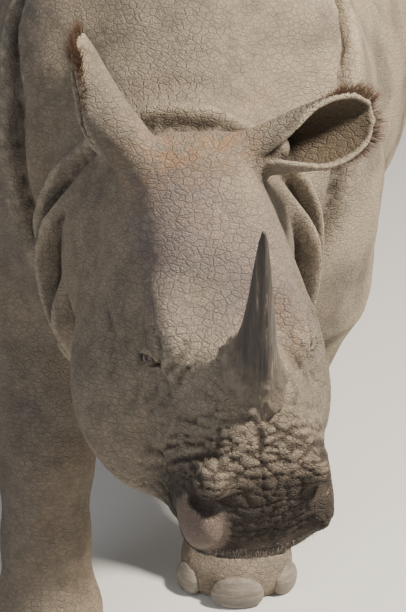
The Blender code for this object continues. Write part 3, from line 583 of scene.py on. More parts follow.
def facets(distance, low, high, cell, halvings=4):
    """Points and quads where the distance is nought, from cells that straddle the surface."""
    cube = np.array([(i, j, k) for i in (0, 1) for j in (0, 1) for k in (0, 1)])
    low = np.array(low, float)
    counts = np.ceil((np.array(high) - low) / (cell * 2**halvings)).astype(int)
    cells = np.stack(np.meshgrid(*map(np.arange, counts), indexing="ij"), -1).reshape(-1, 3)
    span = 1 << 20

    def key(lattice):
        return (lattice[..., 0] * span + lattice[..., 1]) * span + lattice[..., 2]

    for halving in range(halvings, -1, -1):
        size = cell * 2**halving
        corners = cells[:, None] + cube
        keys, first, inverse = np.unique(key(corners), return_index=True, return_inverse=True)
        inverse = inverse.reshape(-1, 8)
        spots = corners.reshape(-1, 3)[first]
        at_spots = distance(low + spots * size)
        value = at_spots[inverse]
        if halving:
            near = np.abs(value).min(1) < 1.4 * size
            near |= (value.min(1) < 0) & (value.max(1) > 0)
            cells = (2 * cells[near][:, None] + cube).reshape(-1, 3)
    value = without_pinches(at_spots, inverse, cell)[inverse]
    crossed = (value.min(1) < 0) & (value.max(1) >= 0)
    cells, value = cells[crossed], value[crossed]
    total, count = np.zeros((len(cells), 3)), np.zeros(len(cells))
    for axis in range(3):
        for i in np.flatnonzero(cube[:, axis] == 0):
            j = i + (4, 2, 1)[axis]
            va, vb = value[:, i], value[:, j]
            cut = (va < 0) != (vb < 0)
            t = np.where(cut, va / np.where(cut, va - vb, 1), 0)
            spot = cube[i] + t[:, None] * (cube[j] - cube[i])
            total += spot * cut[:, None]
            count += cut
    points = low + (cells + total / count[:, None]) * cell
    keys = key(cells)
    order = np.argsort(keys)
    quads = []
    for axis in range(3):
        steps = np.zeros((2, 3), int)
        steps[0, (axis + 1) % 3] = 1
        steps[1, (axis + 2) % 3] = 1
        start, end = value[:, 0] < 0, value[:, (4, 2, 1)[axis]] < 0
        at = np.flatnonzero(start != end)
        ring = [cells[at], cells[at] - steps[0], cells[at] - steps[0] - steps[1], cells[at] - steps[1]]
        quad = np.stack([order[np.searchsorted(keys[order], key(c))] for c in ring], 1)
        inside = start[at]
        quad[~inside] = quad[~inside][:, ::-1]
        quads.append(quad)
    return points, np.concatenate(quads)


def slope_at(points, distance):
    """Distance and its slope at the points."""
    nudge = 1e-4 * np.eye(3)
    d = distance(points)
    return d, np.stack([distance(points + n) - d for n in nudge], 1) / 1e-4


def drawn_in(points, distance, rounds=3):
    """The points moved onto the surface along the distance's slope."""
    for _ in range(rounds):
        d, slope = slope_at(points, distance)
        steep = np.maximum((slope**2).sum(1), 0.2)
        points = points - (d / steep).clip(-0.004, 0.004)[:, None] * slope
    return points


def edges_of(faces, count):
    """Each edge once, and for each face the numbers of its three edges."""
    ends = np.sort(faces[:, [[0, 1], [1, 2], [2, 0]]], axis=2)
    keys, inverse = np.unique(ends[..., 0] * count + ends[..., 1], return_inverse=True)
    return np.stack((keys // count, keys % count), 1), inverse.reshape(-1, 3)


def split_long(points, faces, longest):
    """The triangles with each edge over its local limit halved, longest edges first."""
    edges, of_face = edges_of(faces, len(points))
    a, b = points[edges[:, 0]], points[edges[:, 1]]
    length = np.linalg.norm(a - b, axis=1)
    middle = (a + b) / 2
    long = length > longest(middle)
    leads = np.zeros(len(edges), bool)
    rows = np.arange(len(faces))
    leads[of_face[rows, length[of_face].argmax(1)]] = True
    long &= leads
    number = np.where(long, len(points) + np.cumsum(long) - 1, -1)
    m = number[of_face]
    points = np.concatenate((points, middle[long]))
    marked = (m >= 0).sum(1)
    new = [faces[marked == 0]]
    for count, turn_to in ((1, lambda k: k >= 0), (2, lambda k: k < 0)):
        rows = np.flatnonzero(marked == count)
        turn = turn_to(m[rows]).argmax(1) + (1 if count == 2 else 0)
        v = np.stack([faces[rows, (turn + i) % 3] for i in range(3)], 1)
        k = np.stack([m[rows, (turn + i) % 3] for i in range(3)], 1)
        if count == 1:
            new += [np.stack((v[:, 0], k[:, 0], v[:, 2]), 1), np.stack((k[:, 0], v[:, 1], v[:, 2]), 1)]
        else:
            new.append(np.stack((k[:, 0], v[:, 1], k[:, 1]), 1))
            new.append(np.stack((v[:, 0], k[:, 0], k[:, 1]), 1))
            new.append(np.stack((v[:, 0], k[:, 1], v[:, 2]), 1))
    rows = marked == 3
    v, k = faces[rows], m[rows]
    new += [np.stack((v[:, 0], k[:, 0], k[:, 2]), 1), np.stack((k[:, 0], v[:, 1], k[:, 1]), 1)]
    new += [np.stack((k[:, 2], k[:, 1], v[:, 2]), 1), k]
    return points, np.concatenate(new), int(long.sum())


def normals_of(points, faces):
    a, b, c = (points[faces[:, i]] for i in range(3))
    across = np.cross(b - a, c - a)
    total = np.zeros_like(points)
    for i in range(3):
        for axis in range(3):
            total[:, axis] += np.bincount(faces[:, i], across[:, axis], len(points))
    return total / np.maximum(np.linalg.norm(total, axis=1), 1e-12)[:, None]


def neighbour_mean(values, edges):
    """For each point, the mean of the values at its neighbours."""
    ends = np.concatenate((edges, edges[:, ::-1]))
    count = np.bincount(ends[:, 0], minlength=len(values))
    columns = [np.bincount(ends[:, 0], column[ends[:, 1]], len(values)) for column in values.T]
    return np.stack(columns, 1) / np.maximum(count, 1)[:, None]


def relaxed(points, faces, share=0.5):
    """The points evened out along the surface."""
    edges, _ = edges_of(faces, len(points))
    shift = neighbour_mean(points, edges) - points
    normal = normals_of(points, faces)
    shift -= (shift * normal).sum(1)[:, None] * normal
    return points + share * shift


# ---------------------------------------------------------------- random texture in numbers
def hashed(cell, seed):
    """A number from 0 to 1 for each whole-number cell."""
    primes = np.array((73856093, 19349663, 83492791, 41729653), np.int64)[: cell.shape[-1]]
    n = (cell.astype(np.int64) * primes).sum(-1) + seed * 1013904223
    n = (n ^ (n >> 13)) * 1274126177 & 0x7FFFFFFF
    n = (n ^ (n >> 15)) * 2246822519 & 0x7FFFFFFF
    n = n ^ (n >> 13)
    return (n & 0xFFFFFF) / 0xFFFFFF


def noise(p, seed=0):
    """Smooth noise from -1 to 1 with one lump in each unit of length."""
    base = np.floor(p).astype(np.int64)
    t = p - base
    t = t * t * (3 - 2 * t)
    total = np.zeros(len(p))
    for corner in itertools.product((0, 1), repeat=p.shape[1]):
        weight = np.prod(np.where(corner, t, 1 - t), axis=1)
        total += weight * hashed(base + np.array(corner), seed)
    return 2 * total - 1


def cells(p, seed=0):
    """Distance across the nearest border between random cells, one cell in each unit."""
    base = np.floor(p).astype(np.int64)
    near = np.full((2, len(p)), 9.0)
    for step in itertools.product((-1, 0, 1), repeat=p.shape[1]):
        cell = base + np.array(step)
        place = np.stack([cell[:, i] + hashed(cell, seed + 17 * i) for i in range(p.shape[1])], 1)
        d = np.linalg.norm(p - place, axis=1)
        near[1] = np.minimum(near[1], np.maximum(near[0], d))
        near[0] = np.minimum(near[0], d)
    return near[1] - near[0]


# ---------------------------------------------------------------- fine relief and markings
def longest_edge(p):
    """How long the skin's triangles may be at each place."""
    f, u, s = to_head(p).T
    neck = smooth_step(-p[:, 1], 0.55, 0.95) * smooth_step(p[:, 2], 0.5, 0.8)
    size = BODY_EDGE - NECK_FINER * neck
    size = np.minimum(size, BODY_EDGE - FOOT_FINER * smooth_step(-p[:, 2], -0.25, -0.15))
    size = np.where(f > -0.06, np.minimum(size, HEAD_EDGE), size)
    size = np.where((f > 0.545) & (f < 0.80), np.minimum(size, MUZZLE_EDGE), size)
    creased = (f > 0.28) & (f < 0.56) & (np.abs(s) > 0.05) & (u > -0.22)
    size = np.where(creased, np.minimum(size, CREASE_EDGE), size)
    for base, tip, _ in EARS.values():
        along = (p - base) @ unit(tip)
        off = np.linalg.norm(p - base - along[:, None] * unit(tip), axis=1)
        size = np.where((along > -0.03) & (off < 0.13), np.minimum(size, EAR_EDGE), size)
    for side in (1, -1):
        reach = np.sqrt(sum(v**2 for v in eye_frame(p, side)))
        size = np.where(reach < 0.034, np.minimum(size, LID_EDGE), size)
        size = np.where(reach < 0.075, np.minimum(size, EYE_FOLD_EDGE), size)
    return size


def make_skin_mesh():
    points, quads = facets(animal, (-0.75, -2.15, -0.10), (0.75, 1.35, 1.80), SKIN_CELL)
    points = drawn_in(points, animal, 1)
    obj = new_object("skin", points, quads)
    fewer = obj.modifiers.new("Fewer", "DECIMATE")
    fewer.ratio = COARSE_TRIANGLES / (2 * len(quads))
    fewer.use_collapse_triangulate = True
    group = obj.vertex_groups.new(name="detail")
    detail = 1 / (longest_edge(points) / 0.0042) ** 2
    for step in range(1, 10):
        chosen = np.flatnonzero(np.round(detail * 9) == step)
        group.add([int(i) for i in chosen], step / 10, "REPLACE")
    fewer.vertex_group = "detail"
    fewer.vertex_group_factor = 0.02
    fewer.invert_vertex_group = True
    graph = bpy.context.evaluated_depsgraph_get()
    graph.update()
    result = bpy.data.meshes.new_from_object(obj.evaluated_get(graph))
    bpy.data.objects.remove(obj)
    points, faces = arrays_of(result)
    bpy.data.meshes.remove(result)
    factor = EDGE_FACTOR * 1.0
    for _ in range(14):
        more_points, more_faces, count = split_long(points, faces, lambda p: factor * longest_edge(p))
        if len(more_faces) > SKIN_TRIANGLES or not count:
            break
        points, faces = more_points, more_faces
        points = relaxed(points, faces, 0.4)
    for _ in range(3):
        points = relaxed(points, faces, 0.5)
        points = drawn_in(points, animal, 1)
    points = drawn_in(points, animal, 2)
    return points, faces


def arrays_of(mesh):
    mesh.calc_loop_triangles()
    points = np.empty(len(mesh.vertices) * 3)
    mesh.vertices.foreach_get("co", points)
    faces = np.empty(len(mesh.loop_triangles) * 3, np.int32)
    mesh.loop_triangles.foreach_get("vertices", faces)
    return points.reshape(-1, 3), faces.reshape(-1, 3).astype(np.int64)


def new_object(name, points, faces, shift=None):
    points = np.asarray(points, float) + (0 if shift is None else shift)
    mesh = bpy.data.meshes.new(name)
    faces = np.asarray(faces)
    mesh.vertices.add(len(points))
    mesh.vertices.foreach_set("co", points.ravel())
    sides = faces.shape[1]
    mesh.loops.add(faces.size)
    mesh.loops.foreach_set("vertex_index", faces.ravel().astype(np.int32))
    mesh.polygons.add(len(faces))
    mesh.polygons.foreach_set("loop_start", np.arange(0, faces.size, sides, dtype=np.int32))
    mesh.polygons.foreach_set("loop_total", np.full(len(faces), sides, np.int32))
    mesh.update(calc_edges=True)
    mesh.validate()
    mesh.shade_smooth()
    made = bpy.data.objects.new(name, mesh)
    bpy.context.scene.collection.objects.link(made)
    return made


CREASES = (  # lines pressed into the side of the face, in the head frame: points, width, depth
    (((0.345, -0.128, 0.161), (0.350, -0.090, 0.152), (0.362, -0.062, 0.146), (0.382, -0.052, 0.139),
      (0.405, -0.064, 0.139), (0.428, -0.098, 0.138)), 0.0032, 0.0040),
    (((0.428, -0.098, 0.138), (0.443, -0.104, 0.133), (0.462, -0.098, 0.124), (0.477, -0.108, 0.127),
      (0.478, -0.130, 0.142), (0.471, -0.167, 0.167)), 0.0034, 0.0042),
    (((0.448, -0.118, 0.138), (0.452, -0.143, 0.153), (0.455, -0.159, 0.165),
      (0.434, -0.184, 0.189)), 0.0034, 0.0040),
    (((0.408, -0.156, 0.171), (0.431, -0.155, 0.166), (0.452, -0.143, 0.153)), 0.0030, 0.0030),
    (((0.399, -0.036, 0.089), (0.425, -0.045, 0.103), (0.438, -0.066, 0.123),
      (0.440, -0.095, 0.132)), 0.0034, 0.0036),
    (((0.444, -0.050, 0.100), (0.457, -0.073, 0.110), (0.467, -0.094, 0.120)), 0.0030, 0.0030),
    (((0.305, -0.156, 0.188), (0.327, -0.147, 0.178), (0.347, -0.129, 0.161)), 0.0030, 0.0026),
    (((0.231, -0.165, 0.192), (0.291, -0.158, 0.191), (0.315, -0.168, 0.196), (0.342, -0.172, 0.197),
      (0.382, -0.186, 0.202), (0.395, -0.162, 0.179)), 0.0040, 0.0036),
    (((0.502, -0.156, 0.154), (0.524, -0.110, 0.126), (0.550, -0.066, 0.096)), 0.0036, 0.0034),
    (((0.536, -0.139, 0.142), (0.564, -0.095, 0.114)), 0.0034, 0.0032),
    (((0.537, -0.174, 0.153), (0.565, -0.121, 0.130), (0.590, -0.069, 0.095)), 0.0036, 0.0036),
    (((0.526, -0.211, 0.172), (0.540, -0.190, 0.156), (0.562, -0.163, 0.147)), 0.0036, 0.0036),
    (((0.580, -0.157, 0.143), (0.605, -0.097, 0.117), (0.622, -0.063, 0.091),
      (0.616, -0.052, 0.077)), 0.0040, 0.0044),
)


def rounded(line, steps=5):
    """The line drawn as a smooth curve through its points."""
    line = np.array(line)
    knots = np.arange(len(line))
    places = np.linspace(0, len(line) - 1, steps * (len(line) - 1) + 1)
    return np.stack([curve(places, knots, line[:, i]) for i in range(3)], 1)


def line_groove(h, line, width, depth):
    """Depth of a groove pressed along a line of points, dying out at its ends."""
    line = np.array(line)
    lengths = np.linalg.norm(np.diff(line, axis=0), axis=1)
    starts = np.concatenate(((0,), np.cumsum(lengths)))
    best = np.full(len(h), 9.0)
    place = np.zeros(len(h))
    for i, (a, b) in enumerate(zip(line[:-1], line[1:])):
        share = np.clip((h - a) @ (b - a) / lengths[i] ** 2, 0, 1)
        off = np.linalg.norm(h - a - share[:, None] * (b - a), axis=1)
        nearer = off < best
        place = np.where(nearer, (starts[i] + share * lengths[i]) / starts[-1], place)
        best = np.minimum(best, off)
    ends = smooth_step(place, -0.02, 0.15) * smooth_step(1 - place, -0.02, 0.15)
    swell = 0.35 * depth * bell(best - 2.6 * width, 1.6 * width)
    return (depth * bell(best, width) - swell) * ends


def face_regions(p):
    """How much each place belongs to the wrinkled regions of the head."""
    f, u, s = to_head(p).T
    a = np.abs(s)
    lip_f = curve(s, LIP_EDGE_S, LIP_EDGE_F)
    lip_u = curve(s, LIP_EDGE_S, LIP_EDGE_U)
    lip = smooth_step(np.hypot(f - lip_f, u - lip_u), 0.034, 0.020)
    below = smooth_step(-u, 0.205, 0.225) * smooth_step(f, 0.50, 0.56)
    h = np.stack((f, u, np.abs(s)), 1)
    lobe = smooth_step(ellipsoid(h, *LIP_LOBE), 0.022, 0.008) * smooth_step(-s, 0.0, 0.03)
    pit = tapered(h, NOSTRIL[0], NOSTRIL[1])
    pit = np.minimum(pit, tapered(h, NOSTRIL[1], NOSTRIL[2]))
    nostril = smooth_step(pit, 0.008, 0.0)
    smooth = np.maximum.reduce((lip, lobe, nostril))
    muzzle = smooth_step(f, 0.560, 0.640) * (1 - smooth)
    bridge = smooth_step(f, 0.455, 0.52) * (1 - smooth_step(f, 0.60, 0.66)) * (1 - smooth)
    boss = smooth_step(np.hypot(f - 0.520, s) , 0.078, 0.050) * smooth_step(u, -0.09, -0.06)
    return {"lip": lip, "lobe": lobe, "nostril": nostril, "muzzle": muzzle, "bridge": bridge * (1 - boss),
            "below": below, "boss": boss, "head": smooth_step(f, -0.05, 0.06)}


def fine_relief(p):
    """Height of the creases that are too small for the main shape."""
    h = to_head(p)
    f, u, s = h.T
    height = np.zeros(len(p))
    region = face_regions(p)
    down = 0.20 * np.arctan2(f - 0.50, u + 0.22)
    around = 0.16 * np.arctan2(s, u + 0.24)
    bend = 0.008 * noise(h / 0.05, 3) + 0.003 * noise(h / 0.018, 4)
    at = np.flatnonzero(region["muzzle"] > 0)
    blocks = np.stack(((down[at] + bend[at]) / 0.0135, (around[at] + 2 * bend[at]) / 0.036), 1)
    gap = cells(blocks, 5)
    height[at] -= 0.0036 * (1 - smooth_step(gap, 0.02, 0.32)) * region["muzzle"][at]
    middle = 0.0030 * bell(s[at] + 0.3 * bend[at] + 0.008, 0.0035) * smooth_step(0.70 - f[at], 0.0, 0.03)
    height[at] -= middle * smooth_step(f[at], 0.58, 0.60)
    at = np.flatnonzero(region["bridge"] > 0)
    lean = f[at] - 0.5 * u[at] * smooth_step(np.abs(s[at]), 0.05, 0.10)
    blocks = np.stack(((lean + bend[at]) / 0.0175, (around[at] + 2 * bend[at]) / 0.070), 1)
    gap = cells(blocks, 9)
    height[at] -= 0.0022 * (1 - smooth_step(gap, 0.02, 0.26)) * region["bridge"][at]
    at = np.flatnonzero(region["boss"] > 0)
    rough = noise(h[at] / 0.010, 21) + 0.6 * noise(h[at] / 0.005, 22)
    height[at] += 0.0030 * rough * region["boss"][at]
    at = np.flatnonzero((region["head"] > 0) & (f < 0.50))
    plates = cells(h[at] / 0.011 + 0.4 * noise(h[at] / 0.03, 31)[:, None], 33)
    fade = region["head"][at] * smooth_step(0.50 - f[at], 0.0, 0.04)
    height[at] -= 0.0008 * (1 - smooth_step(plates, 0.02, 0.25)) * fade
    mirrored = np.stack((f, u, np.abs(s)), 1)
    at = np.flatnonzero((f > 0.20) & (f < 0.66) & (np.abs(s) > 0.06))
    wander = np.stack([0.0045 * noise(h[at] / 0.022, 41 + i) for i in range(3)], 1)
    for line, width, depth in CREASES:
        height[at] -= line_groove(mirrored[at] + wander, rounded(line), 1.25 * width, depth)
    wrinkle = noise(np.stack((f[at] / 0.010, u[at] / 0.030, s[at] / 0.030), 1) + wander * 60, 45)
    near_eye = bell(np.hypot(f[at] - 0.40, u[at] + 0.12), 0.10)
    height[at] += 0.0016 * wrinkle * (0.25 + 0.75 * near_eye)
    return height


def settle_shift():
    """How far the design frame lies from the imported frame."""
    low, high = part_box("eye_left")
    return np.array((low + high) / 2) - EYES["left"]


SHIFT = settle_shift()


# ---------------------------------------------------------------- materials
def socket_of(tree, name, kind, way, value=None):
    made = tree.interface.new_socket(name, in_out=way, socket_type=kind)
    if value is not None:
        made.default_value = value


def add_node(tree, kind, links=(), **settings):
    """A node with its settings; links are (input, value or socket) pairs."""
    node = tree.nodes.new(kind)
    for name, value in settings.items():
        setattr(node, name, value)
    for key, value in links:
        if isinstance(value, bpy.types.NodeSocket):
            tree.links.new(value, node.inputs[key])
        else:
            node.inputs[key].default_value = value
    return node


def mixed(tree, factor, first, second, way="MIX"):
    """The socket of a colour between two others."""
    first = (*first, 1) if isinstance(first, tuple) else first
    second = (*second, 1) if isinstance(second, tuple) else second
    links = ((0, factor), (6, first), (7, second))
    return add_node(tree, "ShaderNodeMix", links, data_type="RGBA", blend_type=way).outputs[2]


def sums(tree, way, *values):
    return add_node(tree, "ShaderNodeMath", tuple(enumerate(values)), operation=way).outputs[0]


def vectors(tree, way, *links):
    return add_node(tree, "ShaderNodeVectorMath", links, operation=way).outputs[0]


def combined(tree, *values):
    return add_node(tree, "ShaderNodeCombineXYZ", tuple(enumerate(values))).outputs[0]


def stretched(tree, place, scale):
    return add_node(tree, "ShaderNodeMapping", (("Vector", place), ("Scale", scale))).outputs["Vector"]


def group_ends(tree):
    return tree.nodes.new("NodeGroupInput"), tree.nodes.new("NodeGroupOutput")


def ramped(tree, value, low, high, start=0.0, end=1.0):
    """A value spread from one range onto another, held at its ends."""
    links = (("Value", value), ("From Min", low), ("From Max", high), ("To Min", start), ("To Max", end))
    return add_node(tree, "ShaderNodeMapRange", links, clamp=True).outputs["Result"]


def speckle(tree, place, scale, detail=4.0):
    links = (("Vector", place), ("Scale", scale), ("Detail", detail), ("Roughness", 0.6))
    return add_node(tree, "ShaderNodeTexNoise", links).outputs["Fac"]


def cracks(tree, place, scale, width):
    """1 on the plates between cracks, 0 in the cracks."""
    links = (("Vector", place), ("Scale", scale), ("Randomness", 1.0))
    node = add_node(tree, "ShaderNodeTexVoronoi", links, feature="DISTANCE_TO_EDGE")
    return ramped(tree, node.outputs["Distance"], 0.0, width)


def crack_group():
    """Fine net of cracks: warps the place a little, then lays three sizes of plates."""
    tree = bpy.data.node_groups.new("hide_cracks", "ShaderNodeTree")
    socket_of(tree, "Place", "NodeSocketVector", "INPUT")
    socket_of(tree, "Scale", "NodeSocketFloat", "INPUT", 50.0)
    socket_of(tree, "Coarse", "NodeSocketFloat", "INPUT", 1.0)
    socket_of(tree, "Height", "NodeSocketFloat", "OUTPUT")
    socket_of(tree, "Plate", "NodeSocketFloat", "OUTPUT")
    inside, outside = group_ends(tree)
    place, scale = inside.outputs["Place"], inside.outputs["Scale"]
    warp = add_node(tree, "ShaderNodeTexNoise", (("Vector", place), ("Scale", 14.0), ("Detail", 3.0)))
    pull = vectors(tree, "SUBTRACT", (0, warp.outputs["Color"]), (1, (0.5, 0.5, 0.5)))
    bend = vectors(tree, "SCALE", (0, pull), ("Scale", 0.012))
    moved = vectors(tree, "ADD", (0, place), (1, bend))
    spot = stretched(tree, moved, (0.9, 0.8, 1.5))
    coarse = cracks(tree, spot, scale, 0.13)
    middle = cracks(tree, spot, sums(tree, "MULTIPLY", scale, 2.6), 0.22)
    fine = cracks(tree, spot, sums(tree, "MULTIPLY", scale, 7.0), 0.30)
    weighted = sums(tree, "MULTIPLY", sums(tree, "MULTIPLY", coarse, 0.55), inside.outputs["Coarse"])
    height = sums(tree, "ADD", weighted, sums(tree, "MULTIPLY", middle, 0.35))
    height = sums(tree, "ADD", height, sums(tree, "MULTIPLY", fine, 0.16))
    grain = speckle(tree, place, 900.0, 2.0)
    height = sums(tree, "ADD", height, sums(tree, "MULTIPLY", grain, 0.10))
    tree.links.new(height, outside.inputs["Height"])
    tree.links.new(sums(tree, "MULTIPLY", middle, coarse), outside.inputs["Plate"])
    return tree


def dust_group():
    """Dry dust lying unevenly over a colour."""
    tree = bpy.data.node_groups.new("dry_dust", "ShaderNodeTree")
    socket_of(tree, "Color", "NodeSocketColor", "INPUT", (0.3, 0.25, 0.2, 1))
    socket_of(tree, "Dust", "NodeSocketColor", "INPUT", (0.42, 0.34, 0.25, 1))
    socket_of(tree, "Place", "NodeSocketVector", "INPUT")
    socket_of(tree, "Amount", "NodeSocketFloat", "INPUT", 0.5)
    socket_of(tree, "Color", "NodeSocketColor", "OUTPUT")
    inside, outside = group_ends(tree)
    broad = ramped(tree, speckle(tree, inside.outputs["Place"], 5.0, 6.0), 0.38, 0.66)
    small = ramped(tree, speckle(tree, inside.outputs["Place"], 60.0, 5.0), 0.35, 0.65, 0.4, 1.0)
    share = sums(tree, "MULTIPLY", sums(tree, "MULTIPLY", broad, small), inside.outputs["Amount"])
    made = mixed(tree, share, inside.outputs["Color"], inside.outputs["Dust"])
    tree.links.new(made, outside.inputs["Color"])
    return tree


def dusted(tree, dust_tree, colour, place, amount):
    """The colour with dust over it."""
    links = (("Color", colour), ("Place", place), ("Amount", amount))
    return add_node(tree, "ShaderNodeGroup", links, node_tree=dust_tree).outputs["Color"]


def blank_material(name, roughness):
    material = bpy.data.materials.new(name)
    material.use_nodes = True
    shader = material.node_tree.nodes["Principled BSDF"]
    shader.inputs["Roughness"].default_value = roughness
    place = add_node(material.node_tree, "ShaderNodeTexCoord").outputs["Object"]
    return material, material.node_tree, shader, place


def finish_material(tree, shader, colour, height, depth, roughness=None):
    tree.links.new(colour, shader.inputs["Base Color"])
    bump = add_node(tree, "ShaderNodeBump", (("Height", height), ("Strength", 1.0), ("Distance", depth)))
    tree.links.new(bump.outputs["Normal"], shader.inputs["Normal"])
    if roughness is not None:
        tree.links.new(roughness, shader.inputs["Roughness"])


def painted(tree, name):
    """The value that the mesh carries under a name."""
    node = add_node(tree, "ShaderNodeAttribute", attribute_type="GEOMETRY", attribute_name=name)
    return node.outputs["Fac"]


def hide_material(crack_tree, dust_tree):
    material, tree, shader, place = blank_material("rhino_hide", 0.80)
    shader.inputs["Specular IOR Level"].default_value = 0.30
    crack = add_node(tree, "ShaderNodeGroup", (), node_tree=crack_tree)
    tree.links.new(place, crack.inputs["Place"])
    crack.inputs["Scale"].default_value = 62.0
    mask = {name: painted(tree, name) for name in MASKS}
    tree.links.new(sums(tree, "SUBTRACT", 1.0, mask["smooth"]), crack.inputs["Coarse"])
    broad = ramped(tree, speckle(tree, place, 3.0, 5.0), 0.35, 0.65)
    colour = mixed(tree, broad, HIDE_WARM, HIDE_GREY)
    mottle = ramped(tree, speckle(tree, place, 24.0, 6.0), 0.42, 0.62)
    colour = mixed(tree, sums(tree, "MULTIPLY", mottle, 0.42), colour, HIDE_DARK)
    # painted sunlight on the animal's left side, and the pale patch by the nose bridge
    colour = mixed(tree, mask["cream_and_sunlit"], colour, HIDE_CREAM_AND_SUNLIT)
    colour = mixed(tree, mask["forehead"], colour, HIDE_PURPLE)
    patchy = sums(tree, "MULTIPLY", mask["rust"], ramped(tree, speckle(tree, place, 38.0, 5.0), 0.36, 0.60))
    colour = mixed(tree, patchy, colour, HIDE_RUST)
    colour = dusted(tree, dust_tree, colour, place, sums(tree, "ADD", 0.30, mask["dust"]))
    colour = mixed(tree, mask["muzzle"], colour, HIDE_MUZZLE)
    colour = mixed(tree, mask["lobe"], colour, HIDE_LOBE)
    # painted shadow in the right nostril's opening, over bluish-grey skin
    colour = mixed(tree, mask["nostril"], colour, HIDE_NOSTRIL_AND_SHADOW)
    # olive-brown ear insides, darkened further as painted shade in the cup
    colour = mixed(tree, mask["inner"], colour, HIDE_INNER_EAR_AND_SHADE)
    colour = mixed(tree, mask["pink"], colour, HIDE_PINK)
    line = sums(tree, "SUBTRACT", 1.0, crack.outputs["Plate"])
    colour = mixed(tree, sums(tree, "MULTIPLY", line, 0.34), colour, HIDE_CRACK_AND_SHADE)
    # painted shade with some dirt: the groove mask darkens creases, folds and hollows
    colour = mixed(tree, mask["groove"], colour, HIDE_CRACK_AND_SHADE)
    # painted highlight with some dust: the rim mask lightens raised ridges
    colour = mixed(tree, mask["rim"], colour, HIDE_RIM_DUST_AND_HIGHLIGHT)
    rough = ramped(tree, mask["muzzle"], 0.0, 1.0, 0.82, 0.62)
    finish_material(tree, shader, colour, crack.outputs["Height"], 0.0030, rough)
    return material


def horn_material(dust_tree):
    material, tree, shader, place = blank_material("horn_fibres", 0.55)
    shader.inputs["Specular IOR Level"].default_value = 0.42
    long_way = stretched(tree, place, (1.0, 1.0, 0.07))
    fibres = speckle(tree, long_way, 420.0, 5.0)
    streaks = speckle(tree, long_way, 90.0, 4.0)
    low = painted(tree, "base")
    colour = mixed(tree, ramped(tree, streaks, 0.45, 0.66), HORN_DARK, HORN_BROWN)
    pale = sums(tree, "MULTIPLY", ramped(tree, streaks, 0.58, 0.70), ramped(tree, fibres, 0.40, 0.60))
    colour = mixed(tree, pale, colour, HORN_PALE)
    dull = sums(tree, "MULTIPLY", low, ramped(tree, fibres, 0.30, 0.60, 0.55, 1.0))
    colour = mixed(tree, dull, colour, HORN_BASE)
    colour = dusted(tree, dust_tree, colour, place, sums(tree, "MULTIPLY", low, 0.6))
    bumps = speckle(tree, place, 140.0, 3.0)
    rough_base = sums(tree, "MULTIPLY", sums(tree, "MULTIPLY", bumps, low), 1.2)
    height = sums(tree, "ADD", sums(tree, "MULTIPLY", fibres, 0.7), rough_base)
    rough = ramped(tree, low, 0.0, 1.0, 0.48, 0.82)
    finish_material(tree, shader, colour, height, 0.0030, rough)
    return material


def nail_material(dust_tree):
    material, tree, shader, place = blank_material("nail_horn", 0.6)
    level = stretched(tree, place, (0.35, 0.35, 2.2))
    bands = speckle(tree, level, 38.0, 4.0)
    fine = speckle(tree, level, 190.0, 3.0)
    colour = mixed(tree, ramped(tree, bands, 0.40, 0.62), NAIL_GREY, NAIL_PALE)
    colour = mixed(tree, ramped(tree, fine, 0.55, 0.72), colour, NAIL_DARK)
    colour = dusted(tree, dust_tree, colour, place, 0.5)
    height = sums(tree, "ADD", bands, sums(tree, "MULTIPLY", fine, 0.5))
    rough = ramped(tree, bands, 0.3, 0.7, 0.50, 0.75)
    finish_material(tree, shader, colour, height, 0.0024, rough)
    return material


def eye_material():
    """A wet dark eye: a level pupil, a brown iris with spokes, and a dull brown white."""
    material, tree, shader, place = blank_material("wet_eye", 0.12)
    shader.inputs["Coat Weight"].default_value = 1.0
    shader.inputs["Coat Roughness"].default_value = 0.03
    out, pupil = painted(tree, "off_axis"), painted(tree, "off_pupil")
    spokes = speckle(tree, place, 700.0, 3.0)
    iris = mixed(tree, ramped(tree, spokes, 0.35, 0.65), EYE_IRIS, EYE_IRIS_PALE)
    white = mixed(tree, ramped(tree, speckle(tree, place, 160.0, 4.0), 0.4, 0.65), EYE_WHITE, EYE_VEIN)
    colour = mixed(tree, ramped(tree, out, 0.46, 0.50), iris, EYE_RING)
    colour = mixed(tree, ramped(tree, out, 0.52, 0.60), colour, white)
    colour = mixed(tree, ramped(tree, pupil, 1.08, 0.96), colour, EYE_PUPIL)
    finish_material(tree, shader, colour, spokes, 0.0002, ramped(tree, out, 0.45, 0.60, 0.08, 0.22))
    return material


def hair_material(name, root, tip):
    material, tree, shader, place = blank_material(name, 0.55)
    along = painted(tree, "along")
    uneven = speckle(tree, place, 120.0, 3.0)
    colour = mixed(tree, along, root, tip)
    colour = mixed(tree, ramped(tree, uneven, 0.45, 0.65), colour, HAIR_DARK)
    finish_material(tree, shader, colour, uneven, 0.0004, ramped(tree, uneven, 0.3, 0.7, 0.45, 0.65))
    return material


# ---------------------------------------------------------------- pieces
def set_value(mesh, name, values):
    layer = mesh.attributes.new(name, "FLOAT", "POINT")
    layer.data.foreach_set("value", np.clip(values, 0, 4).astype(np.float32))


